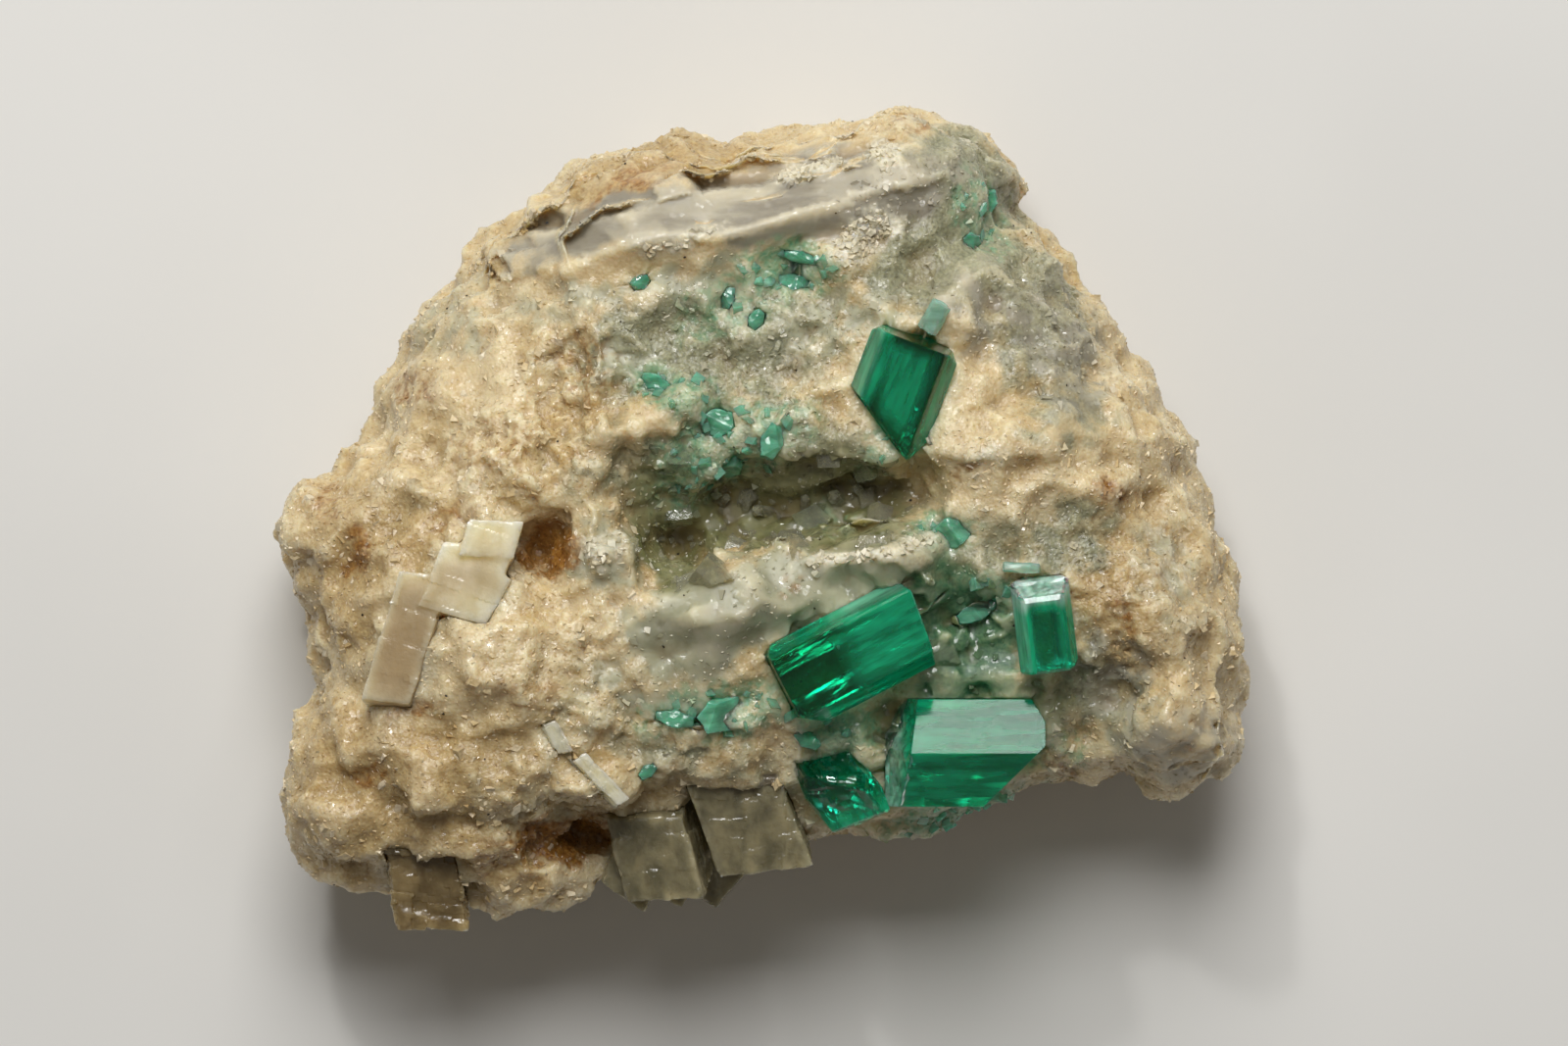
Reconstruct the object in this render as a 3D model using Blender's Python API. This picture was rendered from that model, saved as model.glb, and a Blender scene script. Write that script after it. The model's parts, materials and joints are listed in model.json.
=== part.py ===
"""Emerald in matrix: green beryl crystals and chips set in a broken block of calcite rock.

The block lies on its trimmed back, so +Z points out of its crystal face. The origin is on the
surface that it rests on, below the middle of its outline. Sizes are written in millimetres and
turned to metres by MM.
"""

import math
import random
from collections import namedtuple

import bmesh
import bpy
from mathutils import Vector
from mathutils.bvhtree import BVHTree
from mathutils.geometry import delaunay_2d_cdt

MM = 0.001

# The block
WAIST_HEIGHT = 10.0  # where the outline is widest, above the resting face
WAIST_FALL = 0.16  # how much lower it lies for each millimetre towards +Y
CROWN_HEIGHT = 22.0  # the crystal face, before its own lumps and hollows
CROWN_SHOULDER = 12.0  # how far in from the outline the crystal face becomes level
BACK_SHOULDER = 8.0  # how far in the back comes down to the resting face
BACK_DEPTH = 1.6  # rock below the resting face, which the trim takes off
LATTICE = 1.5  # spacing of the points that carry the relief
VOXEL = 0.85  # grain of the remeshed block
ROCK_KEEP = 0.232  # share of the remeshed faces that the decimation keeps

# The crystals
GAP = 0.3  # clearance between a crystal and the pocket that it sits in
RHOMB_ANGLE = 78.0  # the acute angle of a calcite cleavage face
HEX_SIDES = 6

# The widest outline of the block, clockwise from the tip of the left lobe.
OUTLINE = (
    (-31.4, -0.8), (-30.1, 1.4), (-29.2, 2.2), (-27.2, 2.7), (-26.2, 4.1), (-25.1, 5.2),
    (-24.1, 6.3), (-24.5, 7.9), (-22.8, 10.0), (-22.7, 11.8), (-20.3, 14.1), (-19.1, 15.7),
    (-18.9, 17.3), (-16.3, 18.7), (-14.9, 19.6), (-13.7, 20.9), (-12.0, 22.0), (-11.5, 23.0),
    (-10.4, 22.9), (-8.9, 23.6), (-6.3, 24.4), (-4.6, 24.3), (-2.7, 23.9), (2.2, 24.5),
    (7.0, 25.2), (8.9, 26.3), (10.4, 26.3), (12.0, 24.9), (14.2, 23.9), (15.6, 23.5),
    (16.8, 22.1), (16.3, 19.5), (18.0, 17.7), (19.6, 16.3), (20.3, 14.4), (22.5, 12.3),
    (23.1, 11.2), (23.0, 9.9), (24.5, 9.0), (26.5, 6.2), (27.9, 3.9), (27.2, 2.7),
    (28.9, 0.0), (30.0, -2.2), (30.5, -4.3), (30.4, -6.4), (30.6, -10.0), (30.7, -11.9),
    (30.6, -14.2), (30.0, -15.9), (27.6, -17.4), (25.7, -17.5), (23.6, -16.5), (20.0, -16.9),
    (16.3, -17.9), (13.0, -19.1), (10.5, -20.1), (5.5, -20.4), (1.5, -20.1), (-3.0, -21.2),
    (-7.5, -21.8), (-10.4, -23.0), (-12.4, -24.8), (-15.0, -25.6), (-17.0, -25.8),
    (-18.8, -24.3), (-21.5, -23.7), (-24.2, -23.6), (-26.2, -23.7), (-28.3, -23.0),
    (-30.0, -20.8), (-30.5, -19.0), (-30.1, -16.2), (-29.2, -13.6), (-28.4, -11.0),
    (-28.9, -8.1), (-29.4, -4.9), (-31.0, -2.2),
)

# Lumps (rise above 0) and hollows (below 0) of the crystal face. Each is an ellipse of half
# lengths long and wide, its long axis turned anticlockwise from +X. A high edge value gives a
# steep side, as on a block or a hole, and 1 gives a soft swelling.
Form = namedtuple("Form", "x y long wide turn rise edge")
FORMS = (
    # the pale vein along the top, its ledge, and the knob at its right end
    Form(-1.0, 21.0, 17.0, 3.6, 9, 1.8, 2),
    Form(-6.0, 17.6, 9.5, 1.6, 9, 1.6, 3),
    Form(10.8, 23.8, 4.0, 2.8, 0, 2.2, 1),
    Form(-8.0, 22.8, 4.6, 1.7, 16, 1.4, 2),
    # the speckled hollow above the middle, and the deep cleft below it
    Form(-3.0, 11.0, 9.0, 3.8, 12, -1.6, 1),
    Form(1.0, 0.6, 9.5, 2.6, 6, -6.0, 2),
    Form(-5.6, -2.4, 2.4, 1.7, -40, -5.5, 3),
    Form(9.0, 1.6, 3.6, 1.6, 20, -2.2, 1),
    # the smooth ridge below the cleft
    Form(0.0, -5.0, 8.2, 2.5, 16, 2.4, 1),
    Form(6.5, -2.6, 3.2, 1.0, 6, 1.6, 2),
    Form(-4.0, -6.8, 3.4, 3.0, 0, 1.2, 1),
    # the terrace that holds the large emeralds
    Form(13.0, -9.0, 9.0, 5.6, -20, -3.0, 1),
    Form(12.4, -15.2, 5.6, 3.6, 0, -2.4, 2),
    Form(5.0, -17.2, 3.0, 3.0, 0, -1.6, 2),
    Form(9.4, -3.8, 1.5, 2.4, 30, 1.8, 2),
    Form(6.9, -14.2, 1.8, 1.3, 30, 1.2, 2),
    Form(15.2, -10.4, 2.6, 1.0, 5, 1.3, 2),
    # the cream half on the left: knob, holes, ledges and crevices
    Form(-16.4, -9.2, 4.2, 4.0, 0, 3.0, 1),
    Form(-16.6, -9.8, 1.4, 1.1, 30, -1.4, 2),
    Form(-13.7, -2.3, 1.9, 1.5, 10, -6.5, 3),
    Form(-9.9, -2.6, 2.6, 2.2, 0, 2.0, 2),
    Form(-8.4, 5.3, 4.4, 1.3, 21, 2.6, 2),
    Form(-10.3, 9.0, 1.1, 2.4, 24, 1.7, 2),
    Form(-12.4, 5.2, 2.6, 1.2, -35, -1.8, 2),
    Form(-11.8, 9.8, 1.0, 1.7, 20, -1.4, 2),
    Form(-7.0, 2.6, 2.2, 1.4, 30, -2.6, 2),
    Form(-15.5, 2.6, 3.6, 2.6, 20, 1.4, 1),
    Form(-17.6, 8.2, 3.4, 1.8, 15, -1.0, 1),
    Form(-21.6, 8.4, 2.2, 2.2, 0, 1.2, 1),
    Form(-26.4, -1.4, 1.4, 3.0, 25, -1.8, 1),
    Form(-28.6, 0.0, 2.4, 2.4, 0, 1.3, 1),
    Form(-24.2, -8.6, 2.2, 4.4, 6, 1.3, 1),
    Form(-20.0, -13.2, 5.0, 1.0, -12, -1.6, 1),
    Form(-25.4, -17.6, 2.2, 1.5, -10, -2.0, 1),
    Form(-28.6, -18.6, 1.8, 3.0, 20, 1.4, 1),
    Form(-20.0, -17.2, 4.0, 2.6, -20, 1.2, 1),
    Form(-26.0, -21.6, 3.2, 1.5, -8, 1.0, 1),
    # the bottom edge: the dark cavity beside the calcite blocks, and the broken foot
    Form(-12.0, -20.4, 3.0, 1.6, 5, -6.5, 3),
    Form(-10.9, -17.6, 2.6, 1.5, -8, 2.2, 2),
    Form(-16.0, -23.6, 3.6, 2.0, -25, 1.8, 2),
    Form(-19.0, -27.0, 14.0, 5.0, 0, -5.0, 1),
    Form(-3.6, -21.0, 6.8, 3.3, 5, -6.0, 2),
    # the right flank: cream shelf, folded bands, and the smooth grey lobe at the corner
    Form(15.0, 4.2, 5.4, 1.7, 8, 1.9, 2),
    Form(14.4, 6.4, 2.0, 1.0, 5, -1.5, 2),
    Form(9.6, 16.6, 3.4, 2.4, 35, -1.5, 1),
    Form(23.4, 6.0, 6.6, 1.3, -52, 1.4, 1),
    Form(19.6, 9.6, 6.0, 2.4, -62, 0.9, 1),
    Form(26.6, -14.4, 4.2, 3.0, 8, 1.8, 2),
    Form(22.6, -9.6, 1.6, 3.6, 12, -1.8, 1),
    Form(22.0, -3.0, 1.3, 2.6, 10, -1.2, 1),
    Form(26.4, -7.4, 2.6, 3.4, 0, 1.4, 1),
    Form(21.4, -13.6, 2.4, 2.2, 0, -1.6, 1),
)

# Emerald prisms, placed by their middles. across is the width over the two side edges, face the
# width of the flat that looks up, and depth runs from that flat to the one below. The axis
# points along heading in plan and rises by climb, and roll turns the prism about it.
Prism = namedtuple("Prism", "name x y z across face depth length heading climb roll breaks")
# A break is a plane that takes a piece off a prism: where it crosses the axis, as a share of
# the length from the middle, and the direction that it faces, in the prism's own axes.
EMERALDS = (
    Prism("emerald_upright", 8.7, 7.8, 21.6, 5.9, 4.1, 4.4, 7.2, 69.5, 10, -3, (
        (-0.38, (-0.82, 0.54, 0.20)), (-1.09, (-0.46, -0.89, 0.0)),
        (0.78, (0.75, -0.66, 0.0)), (0.80, (0.75, 0.66, 0.0)),
    )),
    Prism("emerald_diagonal", 5.8, -8.8, 21.6, 6.05, 4.1, 5.2, 9.95, 27.5, -4, 2, (
        (0.475, (0.99, -0.13, 0.0)), (0.574, (0.93, 0.37, 0.0)),
        (-0.725, (-0.64, -0.77, 0.0)), (-0.746, (-0.71, 0.71, 0.0)),
    )),
    Prism("emerald_small_right", 17.9, -6.9, 21.2, 3.9, 2.6, 3.2, 5.9, 97, 8, 3, (
        (0.55, (0.75, 0.0, 0.66)), (-0.753, (-0.71, -0.71, 0.0)),
    )),
    Prism("emerald_lower", 12.95, -15.1, 18.9, 7.86, 3.93, 6.8, 10.1, 0, 0, 30, (
        (-0.506, (-0.87, 0.47, 0.15)), (-0.492, (-0.93, 0.18, 0.31)),
        (0.45, (0.71, -0.61, 0.35)), (0.617, (0.86, 0.44, -0.25)),
    )),
    Prism("emerald_broken", 5.2, -17.2, 18.4, 5.0, 3.2, 4.6, 5.2, -70, 4, 8, (
        (-0.90, (-0.40, 0.92, 0.0)), (0.62, (0.50, -0.38, 0.78)), (-0.70, (-0.50, 0.25, 0.83)),
    )),
    Prism("emerald_pale_upper", 11.0, 12.5, 22.2, 1.4, 0.8, 1.2, 2.0, 60, 12, 0, ()),
    Prism("emerald_sliver", 16.5, -3.35, 21.9, 0.7, 0.4, 0.6, 2.3, -3, 2, 0, ()),
)

# Emerald chips: broken, rounded or bladed bits that show by up above the rock.
CHIP_DEPTH = 2.4
Chip = namedtuple("Chip", "x y long wide heading up")
CHIPS = (
    Chip(0.7, 4.6, 2.4, 1.5, 72, 0.35),
    Chip(-2.7, 5.8, 2.4, 1.9, 12, 0.25),
    Chip(-6.6, 8.2, 2.4, 1.3, -26, 0.2),
    Chip(-1.9, 3.1, 1.7, 1.6, 40, 0.2),
    Chip(2.5, 16.3, 2.7, 0.8, -13, 0.25),
    Chip(2.0, 14.8, 2.3, 1.0, -8, 0.2),
    Chip(-7.6, 14.7, 1.4, 1.0, 30, 0.2),
    Chip(-2.1, 13.6, 1.5, 0.9, 75, 0.2),
    Chip(-0.3, 12.3, 1.5, 1.1, 60, 0.2),
    Chip(13.4, 17.4, 1.3, 1.1, 10, 0.2),
    Chip(14.5, 20.1, 1.6, 1.3, 80, 0.25),
    Chip(12.0, -1.2, 2.6, 2.0, 20, 0.2),
    Chip(13.6, -6.2, 3.0, 1.2, 24, 0.4),
    Chip(2.9, -14.2, 1.9, 1.1, -35, 0.4),
    Chip(-2.4, -12.6, 3.2, 2.4, 30, 0.3),
    Chip(-5.5, -12.9, 2.8, 1.1, -10, 0.3),
    Chip(-7.2, -16.3, 1.4, 0.8, 38, 0.25),
)


# Calcite blocks, each a leaning box. Those of one group have grown into one another. hand is
# the way that a block leans, and heading, climb and roll turn it as they do a prism.
Block = namedtuple("Block", "x y z size hand heading climb roll")
CALCITES = {
    "calcite_blocks": (
        Block(-0.9, -18.8, 14.9, (6.0, 6.2, 6.4), -1, 8, 0, 6),
        Block(-6.4, -20.8, 14.4, (5.0, 5.4, 6.2), -1, 2, 8, 8),
        Block(-7.7, -21.5, 13.4, (3.4, 4.6, 5.6), -1, -34, -6, 4),
        Block(-4.9, -23.6, 11.0, (1.5, 3.0, 4.0), 1, -24, 0, 14),
        Block(-2.8, -23.6, 10.4, (2.0, 3.0, 3.6), 1, -28, 0, 10),
    ),
    "calcite_left_crystal": (
        Block(-17.2, -1.8, 21.2, (3.4, 2.4, 6.0), 1, -3, -4, 6),
        Block(-18.2, -3.4, 20.6, (4.4, 2.4, 6.0), 1, -10, 2, 8),
        Block(-18.8, -5.2, 20.4, (4.6, 3.4, 6.0), 1, -16, 0, 6),
        Block(-22.2, -8.2, 20.2, (3.2, 8.4, 5.0), 1, -6, 8, 4),
    ),
    "calcite_corner_block": (Block(-21.3, -22.5, 14.0, (4.5, 5.2, 7.0), -1, -2, 0, 10),),
    "calcite_needle_long": (Block(-10.2, -16.8, 21.7, (4.0, 0.9, 1.4), 1, -46, -4, 0),),
    "calcite_needle_short": (Block(-13.0, -14.1, 21.9, (2.2, 0.9, 1.4), 1, -62, -4, 0),),
}


def clear_scene():
    for obj in list(bpy.data.objects):
        bpy.data.objects.remove(obj)


def material(name, colour, roughness):
    made = bpy.data.materials.new(name)
    made.use_nodes = True
    surface = made.node_tree.nodes["Principled BSDF"]
    surface.inputs["Base Color"].default_value = (*colour, 1.0)
    surface.inputs["Roughness"].default_value = roughness
    surface.inputs["Metallic"].default_value = 0.0
    return made


def new_object(name, bm, finish):
    bmesh.ops.recalc_face_normals(bm, faces=bm.faces)
    mesh = bpy.data.meshes.new(name)
    bm.to_mesh(mesh)
    bm.free()
    mesh.materials.append(finish)
    obj = bpy.data.objects.new(name, mesh)
    bpy.context.scene.collection.objects.link(obj)
    return obj


# --- the block of rock ---


def distance_to_outline(x, y):
    """How far the point lies from the outline, in millimetres."""
    here = Vector((x, y))
    nearest = math.inf
    for i, corner in enumerate(OUTLINE):
        start = Vector(OUTLINE[i - 1])
        along = Vector(corner) - start
        share = max(0.0, min(1.0, (here - start).dot(along) / along.length_squared))
        nearest = min(nearest, (start + along * share - here).length)
    return nearest


def rounded(distance, shoulder):
    """0 at the outline, 1 where the surface is level, a quarter ellipse between."""
    inward = min(distance / shoulder, 1.0)
    return math.sqrt(1.0 - (1.0 - inward) ** 2)


def relief(x, y):
    """Height that the lumps and hollows add at a point."""
    total = 0.0
    for form in FORMS:
        turn = math.radians(form.turn)
        dx, dy = x - form.x, y - form.y
        u = (dx * math.cos(turn) + dy * math.sin(turn)) / form.long
        v = (dy * math.cos(turn) - dx * math.sin(turn)) / form.wide
        total += form.rise * math.exp(-((u * u + v * v) ** form.edge))
    return total


def waist(y):
    """Height at which the block is widest, which falls towards +Y."""
    return WAIST_HEIGHT - WAIST_FALL * y


def crown(x, y):
    """Height of the crystal face at a point, in millimetres."""
    share = rounded(distance_to_outline(x, y), CROWN_SHOULDER)
    dome = (CROWN_HEIGHT - waist(y)) * share
    return waist(y) + dome + relief(x, y) * min(1.0, 1.6 * share)


def back(x, y):
    """Height of the underside at a point, before the trim."""
    share = rounded(distance_to_outline(x, y), BACK_SHOULDER)
    return waist(y) - (waist(y) + BACK_DEPTH) * share


def inside_outline(x, y):
    inside = False
    for i, (x2, y2) in enumerate(OUTLINE):
        x1, y1 = OUTLINE[i - 1]
        if (y1 > y) != (y2 > y) and x < (x2 - x1) * (y - y1) / (y2 - y1) + x1:
            inside = not inside
    return inside


def plan_points():
    """The outline's corners, then a triangular lattice inside them."""
    points = list(OUTLINE)
    row_step = LATTICE * math.sin(math.radians(60))
    low = min(y for _, y in OUTLINE)
    high = max(y for _, y in OUTLINE)
    left = min(x for x, _ in OUTLINE)
    right = max(x for x, _ in OUTLINE)
    for row in range(int((high - low) / row_step)):
        y = low + row * row_step
        shift = LATTICE / 2 * (row % 2)
        for column in range(int((right - left) / LATTICE)):
            x = left + shift + column * LATTICE
            if inside_outline(x, y) and distance_to_outline(x, y) > LATTICE / 3:
                points.append((x, y))
    return points


def rock_skin():
    """Two sheets over the plan, the crystal face and the back, joined along the outline."""
    points = plan_points()
    corners = len(OUTLINE)
    rim = [(i, (i + 1) % corners) for i in range(corners)]
    flat, _, faces, *_ = delaunay_2d_cdt([Vector(p) for p in points], rim, [], 1, 1e-5)
    bm = bmesh.new()
    tops = []
    bottoms = []
    for i, (x, y) in enumerate(flat):
        on_rim = i < corners
        top_height = waist(y) if on_rim else crown(x, y)
        top = bm.verts.new(Vector((x, y, top_height)) * MM)
        tops.append(top)
        bottoms.append(top if on_rim else bm.verts.new(Vector((x, y, back(x, y))) * MM))
    for face in faces:
        bm.faces.new([tops[i] for i in face])
        under = [bottoms[i] for i in reversed(face)]
        if any(bottoms[i] is not tops[i] for i in face):
            bm.faces.new(under)
    return bm


def add_displacement(obj, name, kind, scale, strength, **settings):
    """Pushes the surface in and out along its normals by a solid texture."""
    texture = bpy.data.textures.new(name, kind)
    texture.noise_scale = scale * MM
    for key, value in settings.items():
        setattr(texture, key, value)
    push = obj.modifiers.new(name, "DISPLACE")
    push.texture = texture
    push.texture_coords = "LOCAL"
    push.strength = strength * MM
    push.mid_level = 0.5


def as_cutter(obj):
    obj.hide_render = True
    obj.display_type = "WIRE"
    return obj


def trim_box():
    """Everything below the resting face, as a cutter."""
    bm = bmesh.new()
    bmesh.ops.create_cube(bm, size=1.0)
    reach, depth = 90 * MM, 20 * MM
    bmesh.ops.scale(bm, vec=(reach, reach, depth), verts=bm.verts)
    bmesh.ops.translate(bm, vec=(0, 0, -depth / 2), verts=bm.verts)
    return as_cutter(new_object("back_trim", bm, None))


def matrix_rock(finish):
    rock = new_object("matrix_rock", rock_skin(), finish)
    remesh = rock.modifiers.new("even_grain", "REMESH")
    remesh.mode = "VOXEL"
    remesh.voxel_size = VOXEL * MM
    add_displacement(rock, "broken_lumps", "CLOUDS", 4.0, 2.2, noise_depth=2)
    add_displacement(rock, "blocky_grain", "VORONOI", 2.6, 1.2, distance_metric="MANHATTAN")
    decimate = rock.modifiers.new("fewer_faces", "DECIMATE")
    decimate.ratio = ROCK_KEEP
    trim = rock.modifiers.new("trimmed_back", "BOOLEAN")
    trim.operation = "DIFFERENCE"
    trim.object = trim_box()
    return rock


def surface_height(surface, x, y):
    """Height of the rock at a point, found from above."""
    hit = surface.ray_cast(Vector((x, y, 2 * CROWN_HEIGHT)) * MM, Vector((0, 0, -1)))
    return hit[0].z / MM


# --- crystals ---


def slice_off(bm, point, facing):
    """Breaks off what lies beyond a plane, and closes the break with a flat face."""
    everything = bm.verts[:] + bm.edges[:] + bm.faces[:]
    done = bmesh.ops.bisect_plane(
        bm, geom=everything, plane_co=point, plane_no=facing, clear_outer=True
    )
    rim = [item for item in done["geom_cut"] if isinstance(item, bmesh.types.BMEdge)]
    bmesh.ops.contextual_create(bm, geom=rim)


def six_sided_bar(across, face, depth, length):
    """A six-sided bar along X with corners of 120 degrees, one flat looking up."""
    steep = math.tan(math.radians(60))
    shoulder = depth / 2 - (across - face) / 2 * steep
    lower_face = across - (shoulder + depth / 2) / steep * 2
    half_section = ((face / 2, depth / 2), (across / 2, shoulder), (lower_face / 2, -depth / 2))
    section = [(-y, z) for y, z in half_section] + [(y, z) for y, z in reversed(half_section)]
    bm = bmesh.new()
    end = bm.faces.new([bm.verts.new(Vector((-length / 2, y, z)) * MM) for y, z in section])
    grown = bmesh.ops.extrude_face_region(bm, geom=[end], use_keep_orig=True)
    far = [item for item in grown["geom"] if isinstance(item, bmesh.types.BMVert)]
    bmesh.ops.translate(bm, vec=(length * MM, 0, 0), verts=far)
    return bm


def place(obj, x, y, z, heading, climb=0.0, roll=0.0):
    obj.location = Vector((x, y, z)) * MM
    obj.rotation_euler = [math.radians(turn) for turn in (roll, -climb, heading)]
    return obj


def emerald_prism(prism, finish):
    bm = six_sided_bar(prism.across, prism.face, prism.depth, prism.length)
    for share, facing in prism.breaks:
        slice_off(bm, Vector((share * prism.length * MM, 0, 0)), Vector(facing))
    obj = new_object(prism.name, bm, finish)
    return place(obj, prism.x, prism.y, prism.z, prism.heading, prism.climb, prism.roll)


def emerald_chip(number, chip, surface, finish):
    """A six-sided splinter, broken by a few planes that differ from chip to chip."""
    pick = random.Random(number)
    bm = bmesh.new()
    bmesh.ops.create_cone(
        bm, cap_ends=True, segments=HEX_SIDES, radius1=0.5, radius2=0.5, depth=1.0
    )
    bmesh.ops.scale(bm, vec=Vector((chip.long, chip.wide, CHIP_DEPTH)) * MM, verts=bm.verts)
    for _ in range(4):
        facing = Vector((pick.uniform(-1, 1), pick.uniform(-1, 1), pick.uniform(0.4, 1.2)))
        facing.normalize()
        corner = max(v.co.dot(facing) for v in bm.verts)
        slice_off(bm, facing * (corner - pick.uniform(0.15, 0.3) * chip.wide * MM), facing)
    top = max(v.co.z for v in bm.verts) / MM
    z = surface_height(surface, chip.x, chip.y) + chip.up - top
    obj = new_object(f"emerald_chip_{number:02d}", bm, finish)
    return place(obj, chip.x, chip.y, z, chip.heading, pick.uniform(-8, 8))


def cleavage_block(name, block, finish):
    """A calcite block: a box leaned over in two directions to the cleavage angle."""
    bm = bmesh.new()
    bmesh.ops.create_cube(bm, size=1.0)
    lean = block.hand / math.tan(math.radians(RHOMB_ANGLE))
    for vertex in bm.verts:
        x, y, z = (share * length for share, length in zip(vertex.co, block.size))
        vertex.co = Vector((x + lean * y, y + lean * z, z)) * MM
    obj = new_object(name, bm, finish)
    return place(obj, block.x, block.y, block.z, block.heading, block.climb, block.roll)


def calcite_group(name, blocks, finish):
    """Blocks that have grown into one another: the first takes in the others as one solid."""
    first, *others = [
        cleavage_block(name if i == 0 else f"{name}_{i}", block, finish)
        for i, block in enumerate(blocks)
    ]
    for other in others:
        join = first.modifiers.new(other.name, "BOOLEAN")
        join.operation = "UNION"
        join.object = as_cutter(other)
    return [first, *others]


def pocket_for(crystal):
    """The crystal's own shape grown by the gap on each axis, as a cutter."""
    mesh = crystal.data.copy()
    mesh.materials.clear()
    corners = [v.co for v in mesh.vertices]
    low = Vector([min(c[i] for c in corners) for i in range(3)])
    high = Vector([max(c[i] for c in corners) for i in range(3)])
    middle = (low + high) / 2
    half = (high - low) / 2
    growth = [(side + GAP * MM) / side for side in half]
    for vertex in mesh.vertices:
        offset = vertex.co - middle
        vertex.co = middle + Vector([d * g for d, g in zip(offset, growth)])
    pocket = bpy.data.objects.new(f"pocket_{crystal.name}", mesh)
    pocket.location = crystal.location
    pocket.rotation_euler = crystal.rotation_euler
    return as_cutter(pocket)


def cut_pockets(rock, crystals):
    pockets = bpy.data.collections.new("pockets")
    bpy.context.scene.collection.children.link(pockets)
    for crystal in crystals:
        pockets.objects.link(pocket_for(crystal))
    sockets = rock.modifiers.new("crystal_pockets", "BOOLEAN")
    sockets.operation = "DIFFERENCE"
    sockets.operand_type = "COLLECTION"
    sockets.collection = pockets


def build():
    clear_scene()
    rock_finish = material("cream_calcite", (0.62, 0.52, 0.38), 0.75)
    emerald_finish = material("emerald", (0.0, 0.32, 0.19), 0.08)
    calcite_finish = material("grey_calcite", (0.62, 0.60, 0.54), 0.3)

    rock = matrix_rock(rock_finish)
    surface = BVHTree.FromObject(rock, bpy.context.evaluated_depsgraph_get())
    crystals = [emerald_prism(prism, emerald_finish) for prism in EMERALDS]
    crystals += [
        emerald_chip(i, chip, surface, emerald_finish) for i, chip in enumerate(CHIPS, 1)
    ]
    for name, blocks in CALCITES.items():
        crystals += calcite_group(name, blocks, calcite_finish)
    cut_pockets(rock, crystals)


build()
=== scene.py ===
"""Emerald in matrix: the finish of every surface of the specimen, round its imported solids.

Sizes and places are written in millimetres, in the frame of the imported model, and turned to
metres by MM. +Z points out of the crystal face and +Y towards the pale vein along the top edge.
"""

import json
import math
import random
from collections import namedtuple

import bpy
import numpy as np
from mathutils import Euler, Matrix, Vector, noise
from mathutils.bvhtree import BVHTree

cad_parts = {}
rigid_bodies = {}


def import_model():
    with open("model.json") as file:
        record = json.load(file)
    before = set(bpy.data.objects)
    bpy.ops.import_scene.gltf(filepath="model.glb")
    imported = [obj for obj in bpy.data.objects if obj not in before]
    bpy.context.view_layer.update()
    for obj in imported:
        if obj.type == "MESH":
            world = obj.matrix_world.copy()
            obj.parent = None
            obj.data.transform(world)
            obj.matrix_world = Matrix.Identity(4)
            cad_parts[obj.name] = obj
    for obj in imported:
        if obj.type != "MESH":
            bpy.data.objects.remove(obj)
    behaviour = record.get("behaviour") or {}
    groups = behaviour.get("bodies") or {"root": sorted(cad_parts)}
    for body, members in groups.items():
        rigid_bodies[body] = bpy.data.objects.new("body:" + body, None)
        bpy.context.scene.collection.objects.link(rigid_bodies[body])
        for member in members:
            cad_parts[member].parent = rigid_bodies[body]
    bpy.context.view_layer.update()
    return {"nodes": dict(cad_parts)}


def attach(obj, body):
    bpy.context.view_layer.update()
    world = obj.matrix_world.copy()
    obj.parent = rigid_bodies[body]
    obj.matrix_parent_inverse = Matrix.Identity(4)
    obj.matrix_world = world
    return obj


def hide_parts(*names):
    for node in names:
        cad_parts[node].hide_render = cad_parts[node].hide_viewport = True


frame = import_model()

MM = 0.001
NODES = frame["nodes"]
EMERALD_NODES = sorted(name for name in NODES if name.startswith("emerald_"))
PALE = ("emerald_pale_upper", "emerald_sliver")
CALCITE_NODES = sorted(name for name in NODES if name.startswith("calcite_"))

def smoothstep(low, high, values):
    share = np.clip((values - low) / (high - low), 0, 1)
    return share * share * (3 - 2 * share)


# --- camera and light, in millimetres and degrees ---
LOOK_AT = (1.47, -0.53, 16.0)
CAMERA_DISTANCE = 700.0
LENS = 252.0
SENSOR = 36.0

# --- the rock ---
ROCK_VOXEL = 0.26  # grain of the remeshed rock
ROCK_TRIANGLES = 196000  # what the decimation leaves
REST_BAND = 0.8  # height above the resting face in which the relief fades out
CRYSTAL_REACH = 0.75  # how near a crystal the rock is drawn up to it
CRYSTAL_FILM = 0.03  # air left between a crystal and the rock that holds it
VEIN_TURN = 13.0  # direction of the vein's cleavage steps, from +X
VEIN_CELLS = np.array((5.0, 1.5, 1.0))  # length, width and height of its cleavage pieces
STEP_HEIGHT = 0.22

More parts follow.
